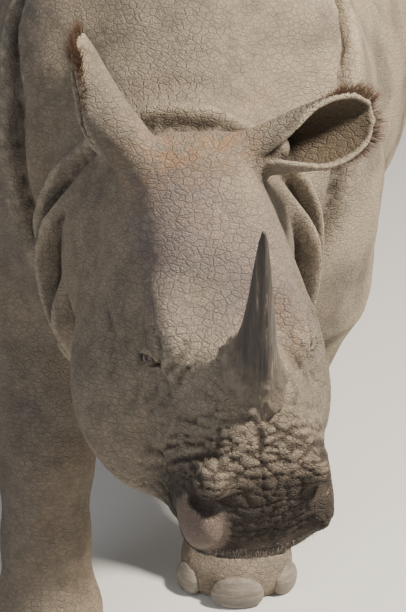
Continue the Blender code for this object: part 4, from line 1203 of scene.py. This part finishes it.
def hide_masks(p, normal, edges, relief):
    """The values from 0 to 1 that say where each colour lies on the skin."""
    f, u, s = to_head(p).T
    a = np.abs(s)
    region = face_regions(p)
    patch = noise(p / 0.09, 51)
    small = noise(p / 0.025, 52)
    # painted shade: how closely the nearby skin shuts each place in, sampled from the shape
    near, far = animal(p + 0.018 * normal) / 0.018, animal(p + 0.060 * normal) / 0.060
    occlusion_shade = smooth_step(0.92 - near, 0.0, 0.7) * 0.8 + smooth_step(0.75 - far, 0.0, 0.8) * 0.5
    bulge = ((p - neighbour_mean(p, edges)) * normal).sum(1)
    size = np.linalg.norm(p[edges[:, 0]] - p[edges[:, 1]], axis=1)
    ends = np.bincount(edges.ravel(), minlength=len(p))
    scale = np.bincount(edges.ravel(), np.repeat(size, 2), len(p)) / np.maximum(ends, 1)
    bulge = neighbour_mean(bulge[:, None], edges)[:, 0] / scale
    face = smooth_step(f, -0.02, 0.05)
    masks = {}
    # groove: painted shade with some dirt in creases, folds and hollows, from that closeness, hollowness and
    # the pressed creases
    pressed = smooth_step(-relief, 0.0006, 0.0034) * (0.40 + 0.45 * smooth_step(f, 0.50, 0.58))
    masks["groove"] = np.clip(occlusion_shade + smooth_step(-bulge, 0.03, 0.16) * 0.75 + pressed, 0, 0.9)
    # rim: painted highlight with some dust on raised ridges and edges, from how far each place bulges out
    masks["rim"] = smooth_step(bulge, 0.05, 0.20) * 0.55 * (1 - region["muzzle"])
    lower = smooth_step(f + 0.05 * patch, 0.550, 0.650) * smooth_step(-u, 0.045, 0.105)
    masks["muzzle"] = np.clip(lower * (0.92 + 0.12 * small), 0, 1) * (1 - region["lobe"])
    masks["lobe"] = region["lobe"] * 0.85
    # nostril: painted shadow in the right nostril's opening, over its bluish-grey skin
    masks["nostril"] = region["nostril"] * smooth_step(-s, -0.06, 0.0)
    masks["smooth"] = np.clip(region["lobe"] + region["nostril"] + region["lip"], 0, 1)
    brow = smooth_step(f, 0.03, 0.12) * (1 - smooth_step(f, 0.36, 0.46)) * smooth_step(u, -0.12, -0.03)
    masks["forehead"] = brow * np.clip(0.55 + 0.45 * patch, 0, 1)
    poll = bell(np.hypot(f - 0.00, a - 0.05), 0.085) * smooth_step(u, -0.12, -0.05)
    beside = bell(np.hypot(f - 0.40, s - 0.085), 0.055)
    masks["rust"] = np.clip(0.75 * poll + 0.55 * beside + 0.14 * smooth_step(patch, 0.1, 0.6), 0, 1)
    # cream: a pale patch beside the nose bridge, plus painted sunlight on the left side of neck and body
    # (lit)
    bridge = bell(np.hypot((f - 0.43) / 1.2, s + 0.085), 0.05) * smooth_step(u, -0.13, -0.05)
    lit = smooth_step(p[:, 0], 0.05, 0.35) * (1 - face) * smooth_step(patch, -0.5, 0.3)
    masks["cream_and_sunlit"] = np.clip(0.5 * bridge + 0.50 * lit, 0, 0.7)
    low_down = smooth_step(0.30 - p[:, 2], 0.0, 0.25)
    masks["dust"] = np.clip(0.50 * low_down + 0.45 * smooth_step(normal[:, 2], 0.4, 0.9), 0, 1)
    inner, pink = np.zeros(len(p)), np.zeros(len(p))
    # inner: the inside of each ear's cup, olive-brown skin darkened further as painted shade; pink: pinkish
    # skin at the base
    for base, tip, opening in EARS.values():
        axis, front, _ = ear_axes(tip, opening)
        q = p - base
        along = q @ axis
        radius = curve(np.clip(along / EAR_LENGTH, 0, 1), EAR_A, EAR_RADIUS)
        centre = base + along[:, None] * axis + (radius - EAR_RADIUS[0])[:, None] * front
        faces_in = smooth_step(-((p - centre) * normal).sum(1) / radius, -0.15, 0.35)
        beside = np.linalg.norm(p - centre, axis=1) < radius + 0.02
        close = (along > -0.02) & (along < EAR_LENGTH + 0.02) & beside
        inner = np.maximum(inner, faces_in * close * 0.92)
        pink = np.maximum(pink, faces_in * close * smooth_step(0.30 - along / EAR_LENGTH, 0, 0.2) * 0.6)
    masks["inner"], masks["pink"] = inner, pink
    return masks


def body_relief(p, normal):
    """Slow unevenness of the hide, and wrinkles round the legs and along the neck."""
    height = 0.0030 * noise(p / 0.075, 61) + 0.0016 * noise(p / 0.032, 62)
    x, y, z = p.T
    low = smooth_step(0.56 - z, 0.0, 0.08) * smooth_step(z, 0.05, 0.12)
    rings = noise(np.stack((x / 0.16, y / 0.16, (z + 0.02 * noise(p / 0.08, 63)) / 0.022), 1), 64)
    height += 0.0042 * low * rings
    neck = smooth_step(-y, 0.80, 1.00) * (1 - smooth_step(to_head(p)[:, 0], -0.10, 0.0))
    across = noise(np.stack((x / 0.12, (y + 0.01 * noise(p / 0.05, 65)) / 0.026, z / 0.12), 1), 66)
    height += 0.0040 * neck * across
    side = smooth_step(-y, -0.9, -0.3) * smooth_step(z, 0.6, 0.8) * (1 - neck) * (1 - low)
    knobs = cells(p / 0.040, 67)
    height += 0.0022 * side * smooth_step(knobs, 0.05, 0.45)
    away = smooth_step(-0.02 - to_head(p)[:, 0], 0.0, 0.06)
    return height * away * smooth_step(z, 0.004, 0.03)


def make_hide(material):
    points, faces = make_skin_mesh()
    normal = normals_of(points, faces)
    relief = fine_relief(points)
    points = points + normal * (relief + body_relief(points, normal))[:, None]
    points[:, 2] = np.maximum(points[:, 2], 0)
    edges = edges_of(faces, len(points))[0]
    masks = hide_masks(points, normals_of(points, faces), edges, relief)
    skin = new_object("hide", points, faces, SHIFT)
    for name in MASKS:
        set_value(skin.data, name, masks[name])
    skin.data.materials.append(material)
    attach(skin, "root")
    flesh = [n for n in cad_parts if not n.startswith(("eye", "horn", "nail"))]
    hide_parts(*flesh)


def add_piece(obj, material, slot, *nodes):
    if material.name not in obj.data.materials:
        obj.data.materials.append(material)
    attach(obj, "root")
    if nodes:
        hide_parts(*nodes)


def closed_rings(rings):
    """Faces of stacked rings of points, closed by fans at both ends."""
    count, sides = rings.shape[:2]
    i = np.arange(sides)
    j = (i + 1) % sides
    faces = []
    for ring in range(count - 1):
        a, b = ring * sides, (ring + 1) * sides
        faces += [np.stack((a + i, a + j, b + j), 1), np.stack((a + i, b + j, b + i), 1)]
    bottom, top = count * sides, count * sides + 1
    faces.append(np.stack((j, i, np.full(sides, bottom)), 1))
    last = (count - 1) * sides
    faces.append(np.stack((last + i, last + j, np.full(sides, top)), 1))
    points = np.concatenate((rings.reshape(-1, 3), rings[0].mean(0)[None], rings[-1].mean(0)[None]))
    return points, np.concatenate(faces)


def make_horn(material):
    """The horn: oval rings up a leaning axis, with an angled front, fibres and a rough flare."""
    sides, count = ((128, 130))
    level = HORN_UP[0] + (HORN_UP[-1] - HORN_UP[0]) * np.linspace(0, 1, count) ** 1.25
    angle = np.linspace(0, 2 * math.pi, sides, endpoint=False)
    up, turn = np.meshgrid(level, angle, indexing="ij")
    long, wide = np.interp(up, HORN_UP, HORN_LONG), np.interp(up, HORN_UP, HORN_WIDE)
    lean = (np.maximum(up, 0) / HORN_UP[-1]) ** 1.4
    sharp = 1 - 0.30 * np.clip(np.cos(turn), 0, 1) ** 2
    flare = smooth_step(0.115 - up, 0.0, 0.06)
    spot = np.stack((np.cos(turn) / 0.16, np.sin(turn) / 0.16, up / 0.05), -1).reshape(-1, 3)
    fibres = noise(spot, 71).reshape(up.shape)
    coarse = noise(spot * (0.3, 0.3, 0.8), 72).reshape(up.shape)
    warts = np.stack((np.cos(turn) / 0.22, np.sin(turn) / 0.22, up / 0.012), -1).reshape(-1, 3)
    bumps = np.clip(noise(warts, 73).reshape(up.shape) * 1.3, 0, 1)
    swell = 1 + fibres * 0.030 * (1 - 0.4 * flare) + coarse * 0.055 + bumps * 0.15 * flare
    f = HORN_F - HORN_BACK * lean + long * swell * np.cos(turn)
    s = -HORN_ASIDE * lean + wide * sharp * swell * np.sin(turn)
    places = from_head(np.stack((f, HORN_U + up, s), -1).reshape(-1, 3))
    points, faces = closed_rings(places.reshape(count, sides, 3))
    horn = new_object("horn_shaft", points, faces, SHIFT)
    mesh_facing_out(horn)
    base = np.append(flare.ravel(), (1.0, 0.0))
    set_value(horn.data, "base", base)
    add_piece(horn, material, "horn", "horn")


def mesh_facing_out(obj):
    mesh = bmesh.new()
    mesh.from_mesh(obj.data)
    bmesh.ops.recalc_face_normals(mesh, faces=mesh.faces)
    mesh.to_mesh(obj.data)
    mesh.free()
    obj.data.shade_smooth()


def make_eye(word, material):
    """An eyeball with a bulging cornea, looking out and a little ahead."""
    centre = EYES[word]
    gaze = unit(HEAD_AXES[2] * (1 if word == "left" else -1) + 0.50 * HEAD_AXES[0] + 0.50 * HEAD_AXES[1])
    level = unit(HEAD_AXES[0] - gaze * (HEAD_AXES[0] @ gaze))
    rise = np.cross(gaze, level)
    sides, count = 64, 48
    polar = np.linspace(math.pi, 0, count + 2)[1:-1]
    tilt, turn = np.meshgrid(polar, np.linspace(0, 2 * math.pi, sides, endpoint=False), indexing="ij")
    radius = EYE_RADIUS * (1 + 0.020 * bell(tilt, 0.42)) - 0.0009
    way = np.cos(tilt)[..., None] * gaze + np.sin(tilt)[..., None] * (
        np.cos(turn)[..., None] * level + np.sin(turn)[..., None] * rise)
    points, faces = closed_rings(centre + radius[..., None] * way)
    ball = new_object(f"eyeball_{word}", points, faces, SHIFT)
    mesh_facing_out(ball)
    towards = (points - centre) / np.linalg.norm(points - centre, axis=1)[:, None]
    off_axis = np.arccos(np.clip(towards @ gaze, -1, 1))
    wide, high = towards @ level, towards @ rise
    set_value(ball.data, "off_axis", off_axis)
    set_value(ball.data, "off_pupil", np.where(towards @ gaze > 0, np.hypot(wide / 0.24, high / 0.13), 4))
    add_piece(ball, material, "eye", f"eye_{word}")


def nail(p, joints, turn, radii):
    """A toenail: an oval ball turned with its toe, standing out of the foot."""
    q = p - nail_centre(joints, turn)
    side = q[:, 0] * math.cos(turn) + q[:, 1] * math.sin(turn)
    ahead = -q[:, 0] * math.sin(turn) + q[:, 1] * math.cos(turn)
    return ellipsoid(np.stack((side, ahead, q[:, 2]), 1), (0, 0, 0), radii) - NAIL_SWELL


def nail_centre(joints, turn):
    x, y = joints[-1][:2]
    reach = TOE_REACH + TOE_RADII[1] - NAIL_INSET
    return np.array((x + reach * math.sin(turn), y - FOOT_LENGTHEN - reach * math.cos(turn), NAIL_HEIGHT))


def bared_nail(p, joints, turn, radii):
    """The part of a nail above the floor's gap and outside the toe, which it dips into a little."""
    above = np.maximum(nail(p, joints, turn, radii), NAIL_CLEAR - p[:, 2])
    return np.maximum(above, -(leg(p, joints) + NAIL_DIP))


def make_nails(word, joints, material):
    """One foot's three nails, each a closed piece that dips into the toe."""
    for toe, turn, radii in zip(("inner", "middle", "outer"), TOE_TURNS, NAIL_RADII):
        shape = lambda p, t=turn, r=radii: bared_nail(p, joints, t, r)
        middle = nail_centre(joints, turn)
        points, quads = facets(shape, middle - 0.10, middle + 0.10, 0.0045)
        points = drawn_in(points, shape, 2)
        outward_way = points - middle
        rings = noise(np.stack((points[:, 0] / 0.09, points[:, 1] / 0.09, points[:, 2] / 0.008), 1), 81)
        points = points + outward_way * (0.012 * rings)[:, None]
        points[:, 2] = np.maximum(points[:, 2], NAIL_CLEAR)
        made = new_object(f"toenail_{word}_{toe}", points, quads, SHIFT)
        add_piece(made, material, "nail", f"nail_{word}_{toe}")


# ---------------------------------------------------------------- hairs
def stored(tree, geometry, name, value, kind, domain):
    links = (("Geometry", geometry), ("Name", name), ("Value", value))
    return add_node(tree, "GeometryNodeStoreNamedAttribute", links, data_type=kind, domain=domain).outputs[0]


def carried(tree, name, kind):
    """The value that the geometry carries under a name."""
    return add_node(tree, "GeometryNodeInputNamedAttribute", (("Name", name),), data_type=kind).outputs[0]


def hair_tree():
    """Geometry nodes: a curved spike at each root, lying its own way, made real with its bake patch."""
    tree = bpy.data.node_groups.new("spikes_at_roots", "GeometryNodeTree")
    socket_of(tree, "Geometry", "NodeSocketGeometry", "INPUT")
    socket_of(tree, "Thickness", "NodeSocketFloat", "INPUT", 0.0005)
    socket_of(tree, "Bend", "NodeSocketFloat", "INPUT", 0.25)
    socket_of(tree, "Seed", "NodeSocketInt", "INPUT", 1)
    socket_of(tree, "Material", "NodeSocketMaterial", "INPUT")
    socket_of(tree, "Geometry", "NodeSocketGeometry", "OUTPUT")
    inside, outside = group_ends(tree)
    thick = inside.outputs["Thickness"]
    counts = (("Vertices", 4), ("Side Segments", 4))
    sizes = (("Radius Bottom", 1.0), ("Radius Top", 0.05), ("Depth", 1.0))
    cone = add_node(tree, "GeometryNodeMeshCone", counts + sizes)
    spot = add_node(tree, "GeometryNodeInputPosition").outputs[0]
    parts = add_node(tree, "ShaderNodeSeparateXYZ", ((0, spot),))
    along = parts.outputs["Z"]
    across = sums(tree, "MULTIPLY", parts.outputs["X"], PATCH / 2)
    patch = combined(tree, across, sums(tree, "MULTIPLY", along, PATCH))
    kept = stored(tree, cone.outputs["Mesh"], "patch", patch, "FLOAT_VECTOR", "POINT")
    kept = stored(tree, kept, "along", along, "FLOAT", "POINT")
    bowed = sums(tree, "MULTIPLY", sums(tree, "MULTIPLY", along, along), inside.outputs["Bend"])
    slim = [sums(tree, "MULTIPLY", parts.outputs[axis], thick) for axis in ("X", "Y")]
    shaped = vectors(tree, "ADD", (0, combined(tree, *slim, along)), (1, combined(tree, bowed)))
    spike = add_node(tree, "GeometryNodeSetPosition", (("Geometry", kept), ("Position", shaped)))
    chance = ((3, SPIN_RANGE), ("Seed", inside.outputs["Seed"]))
    turn = add_node(tree, "FunctionNodeRandomValue", chance, data_type="FLOAT")
    spin = combined(tree, 0.0, 0.0, turn.outputs[1])
    lie = carried(tree, "lie", "FLOAT_VECTOR")
    stand = add_node(tree, "FunctionNodeAlignRotationToVector", (("Vector", lie),), axis="Z").outputs[0]
    turned_way = (("Rotation", stand), ("Rotate By", spin))
    spun = add_node(tree, "FunctionNodeRotateRotation", turned_way, rotation_space="LOCAL").outputs[0]
    size = combined(tree, 1.0, 1.0, carried(tree, "long", "FLOAT"))
    copied = (("Points", inside.outputs["Geometry"]), ("Instance", spike.outputs[0]))
    placed = add_node(tree, "GeometryNodeInstanceOnPoints", (*copied, ("Rotation", spun), ("Scale", size)))
    real = add_node(tree, "GeometryNodeRealizeInstances", (("Geometry", placed.outputs[0]),))
    root, own = carried(tree, "place", "FLOAT_VECTOR"), carried(tree, "patch", "FLOAT_VECTOR")
    where = vectors(tree, "ADD", (0, root), (1, own))
    mapped = stored(tree, real.outputs[0], "OFBake", where, "FLOAT2", "CORNER")
    coloured = (("Geometry", mapped), ("Material", inside.outputs["Material"]))
    made = add_node(tree, "GeometryNodeSetMaterial", coloured)
    tree.links.new(made.outputs[0], outside.inputs["Geometry"])
    return tree


def make_hairs(name, tree, material, roots, ways, lengths, places, thickness, bend, seed, slot="skin"):
    """A piece of spikes from roots, directions, lengths and places on the bake map."""
    mesh = bpy.data.meshes.new(name + "_roots")
    mesh.vertices.add(len(roots))
    mesh.vertices.foreach_set("co", (roots + SHIFT).astype(np.float32).ravel())
    for key, values in (("lie", ways), ("place", places)):
        layer = mesh.attributes.new(key, "FLOAT_VECTOR", "POINT")
        layer.data.foreach_set("vector", np.asarray(values, np.float32).ravel())
    mesh.attributes.new("long", "FLOAT", "POINT").data.foreach_set("value", np.asarray(lengths, np.float32))
    holder = bpy.data.objects.new(name + "_roots", mesh)
    bpy.context.scene.collection.objects.link(holder)
    grow = holder.modifiers.new("Grow", "NODES")
    grow.node_group = tree
    wanted = {"Thickness": thickness, "Bend": bend, "Seed": seed, "Material": material}
    for item in tree.interface.items_tree:
        if item.in_out == "INPUT" and item.name in wanted:
            grow[item.identifier] = wanted[item.name]
    graph = bpy.context.evaluated_depsgraph_get()
    graph.update()
    result = bpy.data.meshes.new_from_object(holder.evaluated_get(graph))
    bpy.data.objects.remove(holder)
    result.name = name
    made = bpy.data.objects.new(name, result)
    bpy.context.scene.collection.objects.link(made)
    add_piece(made, material, slot)
    return made


def unit_rows(v):
    return v / np.linalg.norm(v, axis=1)[:, None]


def ear_fringe(word, tree, material):
    """Hairs out of the ear's rim, thickest and longest at its tip."""
    random = np.random.default_rng(5 if word == "left" else 6)
    base, tip, opening = EARS[word]
    axis, front, side = ear_axes(tip, opening)
    count = EAR_HAIRS
    share = 1 - 0.72 * random.random(count) ** 1.5
    hand = np.where(random.random(count) < 0.5, 1.0, -1.0)
    radius = curve(share, EAR_A, EAR_RADIUS)
    gape = np.radians(curve(share, EAR_A, EAR_OPENING)) + random.uniform(-0.02, 0.22, count)
    gape += smooth_step(share, 0.94, 1.0) * random.uniform(0.0, 1.1, count)
    ahead = radius * np.cos(gape) + radius - EAR_RADIUS[0]
    beside = hand * radius * np.sin(gape)
    roots = base + (share * EAR_LENGTH)[:, None] * axis + ahead[:, None] * front + beside[:, None] * side
    away = np.cos(gape)[:, None] * front + (hand * np.sin(gape))[:, None] * side
    lift = 0.5 + 1.6 * smooth_step(share, 0.8, 1.0)
    ways = unit_rows(away * 0.8 + lift[:, None] * axis + 0.45 * random.normal(size=(count, 3)) * 0.5)
    lengths = (0.012 + 0.026 * smooth_step(share, 0.55, 1.0)) * random.uniform(0.6, 1.15, count)
    places = np.stack((0.05 + 0.9 * share, 0.5 + 0.4 * hand * (gape / math.pi), np.zeros(count)), 1)
    make_hairs(f"ear_fringe_{word}", tree, material, roots, ways, lengths, places, 0.00075, 0.003, 11)


def tail_tuft(tree, material):
    """Stiff bristles down both sides of the tail's end."""
    random = np.random.default_rng(8)
    count = TAIL_HAIRS
    share = random.random(count) ** 0.7
    upper, lower = np.array(TAIL_JOINTS[3]), np.array(TAIL_JOINTS[4])
    line = upper + share[:, None] * (lower - upper)
    turn = np.where(random.random(count) < 0.5, 0, math.pi) + random.normal(0, 0.6, count)
    away = np.stack((np.cos(turn), np.sin(turn), np.zeros(count)), 1)
    down = np.stack((np.zeros(count), np.zeros(count), -np.ones(count)), 1)
    lower_down = 0.012 * smooth_step(share, 0.8, 1.0)
    roots = line[:, :3] + away * (line[:, 3] * 0.9)[:, None] + down * lower_down[:, None]
    ways = unit_rows(0.32 * away + down + 0.08 * random.normal(size=(count, 3)))
    lengths = random.uniform(0.035, 0.075, count) * (1 - 0.25 * share)
    round_tail = 0.5 + 0.45 * (turn % (2 * math.pi) / math.pi - 1)
    places = np.stack((round_tail, 0.1 + 0.8 * share, np.zeros(count)), 1)
    make_hairs("tail_tuft", tree, material, roots, ways, lengths, places, 0.0007, 0.006, 12)


def eye_lashes(word, tree, material):
    random = np.random.default_rng(9)
    side = 1 if word == "left" else -1
    count = LASHES
    along = random.uniform(-0.020, 0.022, count)
    rise = 0.0090 * (1 - (along / 0.025) ** 2) + 0.0015
    out = np.sqrt(np.maximum((EYE_RADIUS + 0.004) ** 2 - along**2 - rise**2, 0))
    cosine, sine = math.cos(LID_SLANT), math.sin(LID_SLANT)
    offset = np.stack((along * cosine + rise * sine, -along * sine + rise * cosine, out * side), 1)
    roots = EYES[word] + offset @ HEAD_AXES
    way = np.stack((0.25 * along / 0.02, np.full(count, 0.15), np.full(count, side * 1.0)), 1)
    ways = unit_rows(way @ HEAD_AXES + 0.15 * random.normal(size=(count, 3)) + np.array((0, 0, -0.35)))
    places = np.stack((0.5 + along * 15, 0.5 + rise * 10, np.zeros(count)), 1)
    lengths = random.uniform(0.008, 0.015, count)
    make_hairs(f"lashes_{word}", tree, material, roots, ways, lengths, places, 0.0003, 0.002, 13)


def lip_bristles(tree, material):
    """Short pale bristles along the margin of the upper lip."""
    random = np.random.default_rng(10)
    count = LIP_HAIRS
    s = random.uniform(-0.110, 0.110, count)
    angle = random.uniform(-1.2, 0.5, count)
    f = curve(s, LIP_EDGE_S, LIP_EDGE_F) + (LIP_EDGE_RADIUS - 0.001) * np.cos(angle)
    u = curve(s, LIP_EDGE_S, LIP_EDGE_U) + (LIP_EDGE_RADIUS - 0.001) * np.sin(angle)
    roots = from_head(np.stack((f, u, s), 1))
    near = drawn_in(roots, animal, 3)
    keep = np.linalg.norm(near - roots, axis=1) < 0.012
    roots = near
    way = np.stack((np.cos(angle), np.sin(angle) - 0.4, s * 4), 1)[keep]
    ways = unit_rows(way @ HEAD_AXES + 0.25 * random.normal(size=(keep.sum(), 3)))
    places = np.stack((0.5 + 3.5 * s, 0.5 + 0.3 * angle, np.zeros(count)), 1)[keep]
    lengths = random.uniform(0.004, 0.009, keep.sum())
    make_hairs("lip_bristles", tree, material, roots[keep], ways, lengths, places, 0.0003, 0.001, 14)


def build():
    crack_tree, dust_tree = crack_group(), dust_group()
    make_hide(hide_material(crack_tree, dust_tree))
    make_horn(horn_material(dust_tree))
    nails = nail_material(dust_tree)
    for word, joints in LEGS.items():
        make_nails(word, joints, nails)
    wet = eye_material()
    tree = hair_tree()
    fringe = hair_material("ear_hair", (0.055, 0.028, 0.016), (0.170, 0.090, 0.050))
    bristle = hair_material("bristle", (0.03, 0.025, 0.02), (0.07, 0.055, 0.04))
    pale = hair_material("lip_hair", (0.35, 0.28, 0.20), (0.55, 0.46, 0.34))
    for word in ("left", "right"):
        make_eye(word, wet)
        ear_fringe(word, tree, fringe)
        eye_lashes(word, tree, bristle)
    tail_tuft(tree, bristle)
    lip_bristles(tree, pale)


def make_camera():
    camera = bpy.data.cameras.new("camera")
    holder = bpy.data.objects.new("camera", camera)
    bpy.context.scene.collection.objects.link(holder)
    bpy.context.scene.camera = holder
    camera.sensor_fit = "VERTICAL"
    camera.sensor_height = SENSOR_HEIGHT
    camera.lens = SENSOR_HEIGHT * CAMERA_REACH
    holder.location = Vector(CAMERA_PLACE) + Vector((SHIFT[0], SHIFT[1], 0))
    holder.rotation_euler = (math.pi / 2 - CAMERA_DOWN, 0, 0)


def make_light(name, place, target, size, energy, colour):
    lamp = bpy.data.lights.new(name, "AREA")
    lamp.shape = "DISK"
    lamp.size = size
    lamp.energy = energy
    lamp.color = colour
    holder = bpy.data.objects.new(name, lamp)
    bpy.context.scene.collection.objects.link(holder)
    holder.location = place
    holder.rotation_euler = (Vector(target) - Vector(place)).to_track_quat("-Z", "Y").to_euler()


def make_stage():
    corners = [(FLOOR_HALF * x, FLOOR_HALF * y, 0) for x, y in ((-1, -1), (1, -1), (1, 1), (-1, 1))]
    floor = new_object("floor", corners, [(0, 1, 2, 3)])
    pale = bpy.data.materials.new("floor")
    pale.use_nodes = True
    pale_shader = pale.node_tree.nodes["Principled BSDF"]
    pale_shader.inputs["Base Color"].default_value = (0.72, 0.72, 0.70, 1)
    pale_shader.inputs["Roughness"].default_value = 0.9
    floor.data.materials.append(pale)
    world = bpy.data.worlds.new("studio")
    bpy.context.scene.world = world
    world.use_nodes = True
    world.node_tree.nodes["Background"].inputs["Color"].default_value = (0.84, 0.86, 0.90, 1)
    world.node_tree.nodes["Background"].inputs["Strength"].default_value = 0.34
    make_light("key", (3.0, -1.2, 4.6), (0, -1.0, 1.0), 0.7, 620, (1.0, 0.91, 0.78))
    make_light("fill", (-3.5, -4.5, 3.2), (0, -0.9, 0.9), 3.0, 85, (0.92, 0.95, 1.0))


make_camera()
make_stage()
build()
